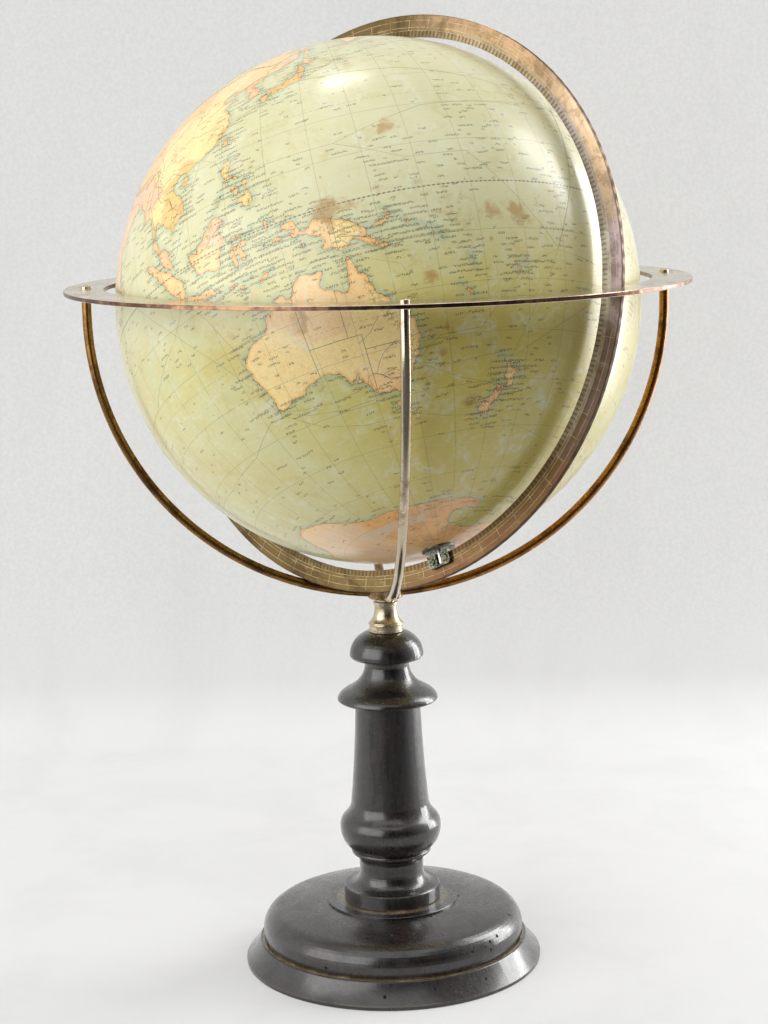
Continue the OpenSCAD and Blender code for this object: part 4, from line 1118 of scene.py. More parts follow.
@dataclass(frozen=True)
class PrintedPaper:
    """Varnished map paper: tinted land, hatched coasts, a net of lines, marks and foxing."""

    name: str = "printed_paper"
    sea: Colour = linear(211, 203, 132)
    sea_warm: Colour = linear(206, 190, 108)
    sea_cool: Colour = linear(198, 206, 154)
    # Painted light: paler sea where the lamps from above and the left light the ball most
    sea_painted_light: Colour = linear(214, 212, 172)
    # Darker, yellower sea: partly browned varnish, partly painted shade of the horizon ring
    sea_browned_and_shaded: Colour = linear(206, 189, 96)
    shallow: Colour = linear(180, 196, 162)
    ink: Colour = linear(70, 66, 46)
    hatch: Colour = linear(140, 156, 122)
    tints: tuple[Colour, ...] = (linear(250, 224, 156), linear(248, 212, 152),
                                 linear(243, 198, 156), linear(246, 200, 122))
    shore: Colour = linear(238, 170, 84)
    hachure: Colour = linear(128, 92, 44)
    foxing: Colour = linear(168, 116, 38)
    scuff: Colour = linear(214, 204, 186)
    wiped: Colour = linear(236, 236, 214)
    mottle: Colour = linear(192, 176, 104)
    bleached: Colour = linear(214, 219, 188)
    ice: Colour = linear(238, 176, 104)
    ice_stained: Colour = linear(204, 142, 88)
    ice_pale: Colour = linear(244, 218, 188)
    land_warm: Colour = linear(244, 196, 124)
    pale: Colour = linear(226, 230, 212)
    smear: Colour = linear(196, 164, 92)
    dot: Colour = linear(112, 84, 44)
    # Degrees: between the lines of the net, the tropics, and between the lines off the coasts
    net_step: float = 10.0
    tropic: float = 23.45
    ruling: float = 0.4
    # Half width in millimetres of one small printed mark
    mark_half: float = 0.23
    varnish: float = 0.5
    varnish_roughness: float = 0.18
    bump_strength: float = 0.35
    bump_depth: float = 0.4 * MM

    def build(self) -> bpy.types.Material:
        """Makes the material."""
        made, g, shader = new_material(self.name)
        where = g.place(POLAR_FRAME)
        x, y, z = g.parts(where)
        flat = g.length(x, y)
        lon = g.add(g.math("DEGREES", g.math("ARCTAN2", y, x)), FIRST_LON)
        lat = g.math("DEGREES", g.math("ARCTAN2", z, flat))
        shrink = g.math("DIVIDE", flat, BALL_R)
        coast = self.wavy_coast(g, where)
        land = g.span(coast, -0.03, 0.03)
        colour = self.sea_colour(g, where, lon, lat, coast)
        colour = g.mix(land, colour, self.land_colour(g, where, coast, lon, lat))
        shoreline = g.span(g.math("ABSOLUTE", coast), 0.12, 0.03)
        broken = g.noise(where, 420, 2, 0.6)
        colour = g.mix(g.mul(shoreline, g.span(broken, 0.35, 0.6, 0.2, 0.75)), colour, self.ink)
        colour = g.mix(g.mul(self.net(g, lon, lat, shrink), 0.42), colour, self.ink)
        colour = g.mix(g.mul(self.marks(g, lon, lat, coast), 0.72), colour, self.ink)
        colour = self.aged(g, where, lon, lat, colour)
        wiped = g.noise(g.join(g.mul(lon, 0.12), g.mul(lat, 7.0), 0.0), 1.0, 2, 0.6)
        colour = g.mix(g.span(wiped, 0.56, 0.7, 0.0, 0.25), colour, self.wiped)
        fine = g.noise(where, 900, 3, 0.6)
        cloud = g.noise(where, 30, 3, 0.55)
        height = g.add(g.mul(cloud, 0.6), g.mul(fine, 0.12))
        g.fill(shader, {"Base Color": colour, "Roughness": g.span(cloud, 0.3, 0.7, 0.30, 0.42),
                        "Normal": g.bump(height, self.bump_strength, self.bump_depth),
                        "Coat Weight": self.varnish, "Coat Roughness": self.varnish_roughness})
        return made

    @staticmethod
    def wavy_coast(g: Graph, where: Value) -> Value:
        """The coast distance with small bays and capes, finer than the mesh holds."""
        bays = g.sub(g.noise(where, 260, 3, 0.6), 0.5)
        return g.add(g.attribute("coast"), g.mul(bays, 1.1))

    def sea_colour(self, g: Graph, where: Value, lon: Value, lat: Value,
                   coast: Value) -> Value:
        """Pale green sea, warmer and cooler in clouds, with ruled lines off the coasts.

        Args:
            g: The graph to fill.
            where: Coordinates in the ball's own frame.
            lon: The longitude.
            lat: The latitude.
            coast: Degrees to the coast, negative at sea.

        Returns:
            The colour.
        """
        cloud = g.patina(where, 9.0, 0.4, 0.62)
        cool = g.patina(where, 21.0, 0.46, 0.68)
        colour = g.mix(cloud, self.sea, self.sea_warm)
        colour = g.mix(g.mul(cool, 0.7), colour, self.sea_cool)
        # Painted shade: the sea of the south-east, under the horizon ring as the ball stands, is
        # darker and yellower, partly browned varnish and partly the ring's shadow
        east = g.mul(g.span(lon, -242.0, -206.0), g.span(lon, -120.0, -160.0))
        south = g.span(lat, -15.0, -30.0)
        colour = g.mix(g.mul(g.mul(east, south), 0.95), colour, self.sea_browned_and_shaded)
        # Painted light: the sea is paler northwards from 24 degrees south, and a little on the
        # west below the ring, standing in for the light from above and the left
        west = g.mul(g.span(lon, -236.0, -252.0), south)
        faded = g.most(g.mul(west, 0.35), g.span(lat, -24.0, 0.0, 0.0, 0.8))
        colour = g.mix(faded, colour, self.sea_painted_light)
        mottle = g.noise(where, 70, 4, 0.7, 0.5)
        colour = g.mix(g.span(mottle, 0.5, 0.72, 0.0, 0.4), colour, self.mottle)
        colour = g.mix(g.span(mottle, 0.48, 0.3, 0.0, 0.45), colour, self.bleached)
        ruled = g.span(g.wave(g.mul(lat, 2 * math.pi / self.ruling)), 0.0, 0.9)
        fade = g.span(coast, -1.4, -0.1)
        colour = g.mix(g.mul(fade, 0.5), colour, self.shallow)
        return g.mix(g.mul(g.mul(fade, ruled), 0.35), colour, self.hatch)

    def land_colour(self, g: Graph, where: Value, coast: Value, lon: Value,
                    lat: Value) -> Value:
        """Hand-tinted land with an orange edge and brown hachures on its mountains.

        Args:
            g: The graph to fill.
            where: Coordinates in the ball's own frame.
            coast: Degrees to the coast, positive on land.
            lon: The longitude.
            lat: The latitude.

        Returns:
            The colour.
        """
        tint = g.attribute("tint")
        colour: Value = self.tints[0]
        for index, shade in enumerate(self.tints[1:], 1):
            colour = g.mix(g.span(tint, index - 0.55, index - 0.45), colour, shade)
        south = g.span(lat, -60.0, -68.0)
        stained = g.span(g.noise(where, 75, 4, 0.7, 0.6), 0.44, 0.62)
        icy = g.mix(stained, self.ice, self.ice_stained)
        icy = g.mix(g.span(lon, -250.0, -262.0, 0.0, 0.7), icy, self.ice_pale)
        colour = g.mix(g.mul(south, 0.8), colour, icy)
        cloud = g.noise(where, 55, 4, 0.65, 0.3)
        colour = g.mix(g.span(cloud, 0.45, 0.75, 0.0, 0.35), colour, self.land_warm)
        colour = g.mix(g.mul(g.span(coast, 0.8, 0.1), 0.6), colour, self.shore)
        ridge = g.span(g.attribute("relief"), 1.5, 0.1)
        strokes = g.noise(where, 560, 3, 0.75, 1.2)
        north = g.span(lat, -55.0, -45.0)
        hachured = g.mul(g.span(strokes, 0.48, 0.6), g.add(g.mul(ridge, 0.7), g.mul(north, 0.2)))
        return g.mix(g.mul(hachured, 0.7), colour, self.hachure)

    @staticmethod
    def near_line(g: Graph, degrees: Value, spacing: float, shrink: Value) -> Value:
        """Distance in millimetres to the nearest line of a set.

        Args:
            g: The graph to fill.
            degrees: The angle that the lines divide.
            spacing: Degrees between two lines.
            shrink: How much a degree is shortened here.

        Returns:
            The distance.
        """
        off = g.off_whole(g.math("DIVIDE", degrees, spacing))
        return g.mul(g.mul(off, shrink), spacing * MM_PER_DEGREE)

    def net(self, g: Graph, lon: Value, lat: Value, shrink: Value) -> Value:
        """Meridians and parallels each ten degrees, with a dashed equator and the tropics.

        Args:
            g: The graph to fill.
            lon: The longitude.
            lat: The latitude.
            shrink: How much a degree of longitude is shortened here.

        Returns:
            A mask of the lines.
        """
        along = g.span(self.near_line(g, lon, self.net_step, shrink), 0.2, 0.06)
        across = g.span(self.near_line(g, lat, self.net_step, 1.0), 0.2, 0.06)
        away = g.mul(g.math("ABSOLUTE", lat), MM_PER_DEGREE)
        equator = g.span(away, 0.55, 0.3)
        dashes = g.span(g.wave(g.mul(lon, 2 * math.pi)), -0.2, 0.2, 0.35, 1.9)
        tropic = g.mul(g.gap(g.math("ABSOLUTE", lat), self.tropic), MM_PER_DEGREE)
        tropic = g.span(tropic, 0.25, 0.1)
        tropic = g.mul(tropic, g.span(g.wave(g.mul(lon, 5.0)), -0.1, 0.1))
        return g.most(g.most(g.most(along, across), g.mul(equator, dashes)), tropic)

    def marks(self, g: Graph, lon: Value, lat: Value, coast: Value) -> Value:
        """Small strokes in broken rows for the soundings, reefs and islands, level and aslant."""
        offshore = g.span(coast, -4.0, -0.5, 0.0, 0.09)
        inland = g.span(coast, -0.1, 0.4, 0.0, 0.09)
        crowd = g.add(g.mul(g.attribute("busy"), 0.15), g.sub(offshore, inland))
        level = self.rows(g, lon, lat, crowd, 0.0, 1.15, 0.65)
        slanted = self.rows(g, lon, lat, crowd, -0.09, 1.5, 0.70)
        return g.most(level, slanted)

    def rows(self, g: Graph, lon: Value, lat: Value, crowd: Value, slope: float,
             pitch: float, level: float) -> Value:
        """One set of rows of strokes.

        Args:
            g: The graph to fill.
            lon: The longitude.
            lat: The latitude.
            crowd: How much more is printed here.
            slope: How the rows climb.
            pitch: Degrees between two rows.
            level: How much noise a row must pass to be printed.

        Returns:
            A mask of the strokes.
        """
        rows = g.math("DIVIDE", g.add(lat, g.mul(lon, slope)), pitch)
        row = g.math("FLOOR", rows)
        middle = g.mul(g.sub(g.mul(row, pitch), g.mul(lon, slope)), math.radians(1.0))
        middle = g.math("SNAP", middle, math.radians(6.0))
        along = g.mul(lon, g.math("COSINE", middle))
        off = g.sub(g.sub(rows, row), 0.5)
        spot = g.join(g.add(g.mul(along, 0.3), g.mul(row, 17.3)), g.mul(row, 3.71), slope)
        shown = g.span(g.add(g.noise(spot, 1.0, 1, 0.4), crowd), level, level + 0.03)
        half = self.mark_half / pitch
        line = g.span(g.math("ABSOLUTE", off), half + 0.04, half - 0.04)
        strokes = g.noise(g.join(g.mul(along, 4.8), g.mul(off, 2.6), row), 1.0, 1, 0.5)
        return g.mul(g.mul(line, shown), g.span(strokes, 0.44, 0.56))

    def aged(self, g: Graph, where: Value, lon: Value, lat: Value, colour: Value) -> Value:
        """Yellowed varnish, foxing, stains and scuffs over the print.

        Args:
            g: The graph to fill.
            where: Coordinates in the ball's own frame.
            lon: The longitude.
            lat: The latitude.
            colour: The colour of the print.

        Returns:
            The aged colour.
        """
        cloud = g.noise(where, 46, 4, 0.7, 0.8)
        fibre = g.noise(where, 210, 3, 0.6, 0.4)
        both = g.add(g.mul(cloud, 0.6), g.mul(fibre, 0.4))
        known = g.add(g.attribute("stain"), g.mul(g.sub(both, 0.5), 2.6))
        stain = g.mul(g.span(known, 0.4, 0.95), g.span(g.attribute("stain"), 0.05, 0.3))
        smear = g.patina(g.place(POLAR_FRAME, (1, 1, 3.5)), 14.0, 0.6, 0.8)
        spots = g.specks(where, 95.0, 0.2, 0.35)
        dots = g.specks(where, 330.0, 0.14, 0.3)
        pale = g.patina(where, 64.0, 0.52, 0.7)
        colour = g.mix(g.mul(pale, 0.42), colour, self.pale)
        colour = g.mix(g.mul(smear, 0.35), colour, self.smear)
        colour = g.mix(g.mul(stain, 0.62), colour, self.foxing)
        colour = g.mix(g.mul(spots, 0.45), colour, self.foxing)
        colour = g.mix(g.mul(dots, 0.5), colour, self.dot)
        wear = g.noise(g.join(g.mul(lon, 0.11), g.mul(lat, 0.9), 0.0), 1.0, 4, 0.72)
        ragged = g.add(lat, g.mul(g.sub(wear, 0.5), 3.0))
        band = g.mul(g.span(ragged, -70.2, -71.0), g.span(ragged, -74.4, -73.4))
        reach = g.mul(g.span(lon, -270.0, -260.0), g.span(lon, -212.0, -222.0))
        rubbed = g.mul(g.mul(band, reach), g.span(wear, 0.4, 0.52, 0.1, 0.8))
        few = g.mul(g.span(lat, -60.0, -64.0), g.span(wear, 0.6, 0.68, 0.0, 0.5))
        return g.mix(g.most(rubbed, few), colour, self.scuff)


@dataclass(frozen=True)
class RingTarnishAndReflection:
    """One stretch of the meridian ring, in degrees from its lowest point, coloured partly by
    tarnish and partly by a painted reflection.
    """

    first: float
    last: float
    inner: Colour
    outer: Colour
    strength: float


@dataclass(frozen=True)
class EngravedBrass:
    """Aged brass of the meridian ring, with its divisions cut in the front face."""

    metal: AgedMetal = AgedMetal(
        "meridian_brass", linear(108, 90, 58), linear(82, 66, 44), linear(138, 119, 83), 0.3,
        42.0, 0.42, 0.66, 0.3, (2.0, 2200.0), 0.62)
    lines: Colour = linear(210, 196, 152)
    groove: Colour = linear(58, 46, 34)
    browned: Colour = linear(84, 66, 54)
    # Tarnish along the ring, partly painted reflection where the right lamp lights its upper
    # stretches
    stains: tuple[RingTarnishAndReflection, ...] = (
        RingTarnishAndReflection(16.0, 62.0, linear(122, 98, 70), linear(116, 86, 62), 0.85),
        RingTarnishAndReflection(62.0, 88.0, linear(178, 166, 150), linear(124, 104, 98), 0.85),
        RingTarnishAndReflection(88.0, 110.0, linear(232, 226, 214), linear(196, 178, 184), 0.9),
        RingTarnishAndReflection(110.0, 142.0, linear(180, 168, 162), linear(206, 178, 148), 0.85),
        RingTarnishAndReflection(142.0, 176.0, linear(172, 152, 120), linear(180, 148, 114), 0.8))
    # Degrees over which two stretches of tarnish and painted reflection pass into each other, and
    # how raggedly they do so
    stretch_blend: float = 8.0
    stretch_ragged: float = 34.0
    # Millimetres out from the inner edge: ruled circles, end of the longest lines, outer rim
    circles: tuple[float, float, float] = (3.6, 5.5, 9.8)
    longest: float = 12.0
    rim: tuple[float, float] = (13.32, 13.38)
    # Radius in millimetres where the width of a line is measured
    line_radius: float = 168.0

    def build(self) -> bpy.types.Material:
        """Makes the material."""
        made, g, shader = new_material(self.metal.name)
        x, y, z = g.parts(g.place(MERIDIAN_FRAME))
        radius = g.length(x, z)
        turn = g.math("DEGREES", g.math("ARCTAN2", x, g.mul(z, -1.0)))
        out = g.mul(g.sub(radius, MERIDIAN_IR), 1 / MM)
        drawn = g.join(g.mul(turn, 0.0028), radius, y)
        colour, rough, height = self.metal.surface(g, g.place(), drawn)
        colour = self.stained(g, turn, out, colour)
        front = g.span(y, 0.4 * MM, 0.2 * MM)
        dark, light = self.divisions(g, g.sub(turn, math.degrees(POLE_TILT)), out)
        wear = g.span(g.noise(g.place(), 210, 2, 0.6), 0.35, 0.55, 0.25, 1.0)
        colour = g.mix(g.mul(g.mul(dark, front), 0.45), colour, self.groove)
        colour = g.mix(g.mul(g.mul(g.mul(light, front), wear), 0.6), colour, self.lines)
        # Painted shade: a dark band along the outer edge of the front face stands in for the shade
        # at the ring's edge
        colour = g.mix(g.mul(g.span(out, 12.6, 13.2), 0.5), colour, self.groove)
        rim = g.span(out, *self.rim)
        cut = g.mul(g.most(dark, light), front)
        rough = g.add(rough, g.add(g.mul(cut, 0.12), g.mul(rim, 0.25)))
        g.fill(shader, {"Base Color": g.mix(rim, colour, self.browned), "Roughness": rough,
                        "Normal": g.bump(g.sub(height, cut), 0.25, 0.1 * MM), "Metallic": 1.0})
        return made

    def stained(self, g: Graph, turn: Value, out: Value, colour: Value) -> Value:
        """Lays the long stretches of tarnish and painted reflection over the brass.

        Args:
            g: The graph to fill.
            turn: Degrees along the ring from its lowest point.
            out: Millimetres from the ring's inner edge.
            colour: The brass's colour.

        Returns:
            The stained colour.
        """
        cloud = g.noise(g.place(), 60, 4, 0.6, 0.3)
        blotch = g.patina(g.place(), 95.0, 0.44, 0.62)
        ragged = g.add(turn, g.mul(g.sub(cloud, 0.5), self.stretch_ragged))
        blend = self.stretch_blend
        # Each stretch is tarnish, and partly painted reflection: the upper stretches are lightened
        # where the right lamp shines on the ring
        for stain in self.stains:
            here = g.mul(g.span(ragged, stain.first - blend, stain.first + blend),
                         g.span(ragged, stain.last + blend, stain.last - blend))
            tone = g.mix(g.span(out, 4.6, 6.6), stain.inner, stain.outer)
            strength = g.span(blotch, 0.0, 1.0, stain.strength, stain.strength * 0.55)
            colour = g.mix(g.mul(here, strength), colour, tone)
        return colour

    def divisions(self, g: Graph, turn: Value, out: Value) -> tuple[Value, Value]:
        """Degree blocks, longer lines each five and ten degrees, and the ruled circles.

        Args:
            g: The graph to fill.
            turn: Degrees along the ring from a pole.
            out: Millimetres from the ring's inner edge.

        Returns:
            A mask of the filled blocks and one of the fine bright lines.
        """
        inmost, _, outmost = self.circles
        blocks = g.mul(g.span(g.off_whole(turn), 0.24, 0.14), g.span(out, inmost, inmost - 0.3))
        found: Value = 0.0
        for spacing, start, reach in ((5.0, inmost, outmost), (10.0, outmost, self.longest)):
            off = g.mul(g.off_whole(g.math("DIVIDE", turn, spacing)),
                        spacing * math.radians(self.line_radius))
            line = g.mul(g.span(off, 0.24, 0.08), g.span(out, reach, reach - 0.3))
            found = g.most(found, g.mul(line, g.span(out, start - 0.2, start)))
        for ring in self.circles:
            found = g.most(found, g.span(g.gap(out, ring), 0.22, 0.06))
        return blocks, found


@dataclass(frozen=True)
class PlatedRing:
    """Worn nickel on the horizon ring: ruled round by fine scratches, brown at its edges."""

    metal: AgedMetal = AgedMetal(
        "horizon_nickel", linear(216, 206, 186), linear(182, 162, 130), linear(238, 232, 220),
        0.2, 38.0, 0.5, 0.7, 0.25, (3.0, 2600.0), 0.58)
    edge: Colour = linear(104, 74, 66)
    edge_worn: Colour = linear(160, 124, 92)
    edge_bright: Colour = linear(240, 228, 206)
    # Radii where the brown of the outer and of the inner rim starts and is full
    outer_rim: tuple[float, float] = (189.45 * MM, 189.62 * MM)
    inner_rim: tuple[float, float] = (165.95 * MM, 165.8 * MM)

    def build(self) -> bpy.types.Material:
        """Makes the material."""
        made, g, shader = new_material(self.metal.name)
        x, y, z = g.parts(g.place())
        radius = g.length(x, y)
        drawn = g.join(g.math("ARCTAN2", y, x), radius, z)
        colour, rough, height = self.metal.surface(g, g.place(), drawn)
        wear = g.patina(g.place(), 46.0, 0.44, 0.6)
        bright = g.specks(g.place(), 110.0, 0.2, 0.25)
        rim = g.most(g.span(radius, *self.outer_rim), g.span(radius, *self.inner_rim))
        edge = g.mix(wear, self.edge, self.edge_worn)
        edge = g.mix(g.mul(bright, 0.8), edge, self.edge_bright)
        g.fill(shader, {"Base Color": g.mix(rim, colour, edge),
                        "Roughness": g.add(rough, g.mul(rim, 0.06)),
                        "Normal": g.bump(height, 0.25, 0.08 * MM), "Metallic": 1.0})
        return made


@dataclass(frozen=True)
class PlainFinish:
    """A plain material for what is hidden inside, with a fine mottle."""

    name: str
    light: Colour
    dark: Colour
    rough: float = 0.7
    scale: float = 120.0
    stretch: tuple[float, float, float] = (1, 1, 1)

    def build(self) -> bpy.types.Material:
        """Makes the material."""
        made, g, shader = new_material(self.name)
        where = g.place(POLAR_FRAME, self.stretch)
        cloud = g.noise(where, self.scale, 4, 0.6, 0.3)
        g.fill(shader, {"Base Color": g.mix(g.span(cloud, 0.35, 0.65), self.dark, self.light),
                        "Normal": g.bump(cloud, 0.3, 0.2 * MM), "Roughness": self.rough})
        return made


@dataclass(frozen=True)
class PrintersInk:
    """Thin brown-black ink of the printed lines, broken where it has worn."""

    name: str
    ink: Colour
    faded: Colour
    rough: float = 0.4

    def build(self) -> bpy.types.Material:
        """Makes the material."""
        made, g, shader = new_material(self.name)
        wear = g.noise(g.place(POLAR_FRAME), 240, 3, 0.6)
        g.fill(shader, {"Base Color": g.mix(g.span(wear, 0.45, 0.62), self.ink, self.faded),
                        "Roughness": self.rough})
        return made


# ---------------------------------------------------------------- modelling


def only(*chosen: bpy.types.Object) -> None:
    """Selects these objects alone and makes the last of them active."""
    bpy.ops.object.select_all(action="DESELECT")
    for piece in chosen:
        piece.select_set(True)
        bpy.context.view_layer.objects.active = piece


def placed(piece: bpy.types.Object, name: str) -> bpy.types.Object:
    """Names a finished piece and puts its place into its mesh."""
    piece.name = piece.data.name = name
    only(piece)
    bpy.ops.object.transform_apply(location=True, rotation=True, scale=True)
    return piece


def corners(mesh: bpy.types.Mesh) -> np.ndarray:
    """The places of a mesh's vertices, one row a vertex."""
    where = np.empty(3 * len(mesh.vertices))
    mesh.vertices.foreach_get("co", where)
    return where.reshape(-1, 3)


def dress(piece: bpy.types.Object, finish: bpy.types.Material) -> None:
    """Gives a piece one material."""
    piece.data.materials.clear()
    piece.data.materials.append(finish)


@dataclass
class PrintedBall:
    """The twelve printed gores of the ball and the lines printed over them."""

    gores: int = 12
    step: float = 0.5
    skin: float = 0.5 * MM
    lines_mm: dict[PrintedLine, float] = field(default_factory=lambda: {
        PrintedLine.BORDER: 0.13, PrintedLine.RIVER: 0.1, PrintedLine.ROUTE: 0.08})
    # Degrees between two points of a line, and how far a river strays
    stride: float = 1.2
    stray: float = 0.12
    survey: MapSurvey = field(default_factory=MapSurvey)

    def model_gore(self) -> bpy.types.Object:
        """Spins one gore out of a half circle, from pole to pole, in the ball's own frame."""
        bpy.ops.object.select_all(action="DESELECT")
        bpy.ops.mesh.primitive_circle_add(vertices=round(360 / self.step), radius=BALL_R,
                                          rotation=(math.pi / 2, 0, 0))
        piece = bpy.context.active_object
        bpy.ops.object.transform_apply(location=True, rotation=True, scale=True)
        mesh = piece.data
        bpy.ops.object.mode_set(mode="EDIT")
        bpy.ops.mesh.select_mode(type="VERT")
        bpy.ops.mesh.select_all(action="DESELECT")
        for vertex in bmesh.from_edit_mesh(mesh).verts:
            vertex.select_set(vertex.co.x < -NEAR)
        bpy.ops.mesh.delete(type="VERT")
        bpy.ops.mesh.select_all(action="SELECT")
        width = 360 / self.gores
        bpy.ops.mesh.spin(steps=round(width / self.step), angle=math.radians(width),
                          center=(0, 0, 0), axis=(0, 0, 1))
        bpy.ops.mesh.select_all(action="SELECT")
        bpy.ops.mesh.remove_doubles(threshold=NEAR)
        bpy.ops.mesh.normals_make_consistent(inside=False)
        bpy.ops.object.mode_set(mode="OBJECT")
        if corners(mesh)[:, 1].mean() < 0:
            mesh.transform(Matrix.Rotation(math.radians(width), 4, "Z"))
        bpy.ops.object.shade_smooth()
        return piece

    def build(self, paper: bpy.types.Material) -> list[bpy.types.Object]:
        """Copies the gore round the ball and gives each copy its part of the map.

        Args:
            paper: The printed paper.

        Returns:
            The twelve gores.
        """
        first = self.model_gore()
        made = []
        for index in range(self.gores):
            piece = first.copy()
            piece.data = first.data.copy()
            bpy.context.collection.objects.link(piece)
            start = index * 360 / self.gores - 180
            piece.data.transform(Matrix.Rotation(math.radians(start - FIRST_LON), 4, "Z"))
            self.chart(piece.data)
            piece.data.transform(POLAR_FRAME)
            only(piece)
            shell = piece.modifiers.new("paper", "SOLIDIFY")
            shell.thickness, shell.offset = self.skin, -1.0
            bpy.ops.object.modifier_apply(modifier=shell.name)
            bpy.ops.object.shade_smooth_by_angle(angle=math.radians(40))
            dress(piece, paper)
            made.append(placed(piece, f"map_gore_{index + 1:02d}"))
        bpy.data.objects.remove(first)
        return made

    def chart(self, mesh: bpy.types.Mesh) -> None:
        """Stores the map's numbers on a gore.

        Args:
            mesh: The gore's mesh, in the ball's own frame.
        """
        where = corners(mesh)
        lon = np.degrees(np.arctan2(where[:, 1], where[:, 0])) + FIRST_LON
        lat = np.degrees(np.arctan2(where[:, 2], np.hypot(where[:, 0], where[:, 1])))
        for name in ("coast", "tint", "relief", "busy", "stain"):
            layer = mesh.attributes.new(name, "FLOAT", "POINT")
            values = self.survey.read(getattr(self.survey, name), lon, lat)
            layer.data.foreach_set("value", values.astype(np.float32))

    def draw_lines(self, kind: PrintedLine, ink: bpy.types.Material) -> bpy.types.Object:
        """Draws one kind of printed line as a fine raised thread on the paper.

        Args:
            kind: Which of the sets of paths.
            ink: Its ink.

        Returns:
            The lines as one mesh.
        """
        data = bpy.data.curves.new("lines", "CURVE")
        data.dimensions = "3D"
        data.bevel_depth, data.bevel_resolution = self.lines_mm[kind] * MM, 0
        for text in INK[kind].split("|"):
            path = path_points(text)
            steps = [np.linspace(a, b, max(2, int(np.hypot(*(b - a)) / self.stride) + 1))[:-1]
                     for a, b in zip(path[:-1], path[1:])]
            path = np.vstack([*steps, path[-1:]])
            bend = np.random.default_rng(len(path)).normal(0, self.stray, path.shape)
            if kind is PrintedLine.RIVER:
                path[1:-1] += bend[1:-1]
            points = ball_point(path[:, 0], path[:, 1], BALL_R)
            spline = data.splines.new("POLY")
            spline.points.add(len(points) - 1)
            spline.points.foreach_set("co", np.c_[points, np.ones(len(points))].ravel())
        piece = bpy.data.objects.new("lines", data)
        bpy.context.collection.objects.link(piece)
        only(piece)
        bpy.ops.object.convert(target="MESH")
        piece = bpy.context.active_object
        dress(piece, ink)
        return placed(piece, f"map_{kind.value}_lines")


# ------------------------------------------------------------------ the studio


@dataclass(frozen=True)
class Lamp:
    """A soft rectangular lamp that looks at the ball.

    Its place is right of, behind and over the ball, as the camera sees it.
    """

    name: str
    place: tuple[float, float, float]
    size: tuple[float, float]
    watts: float


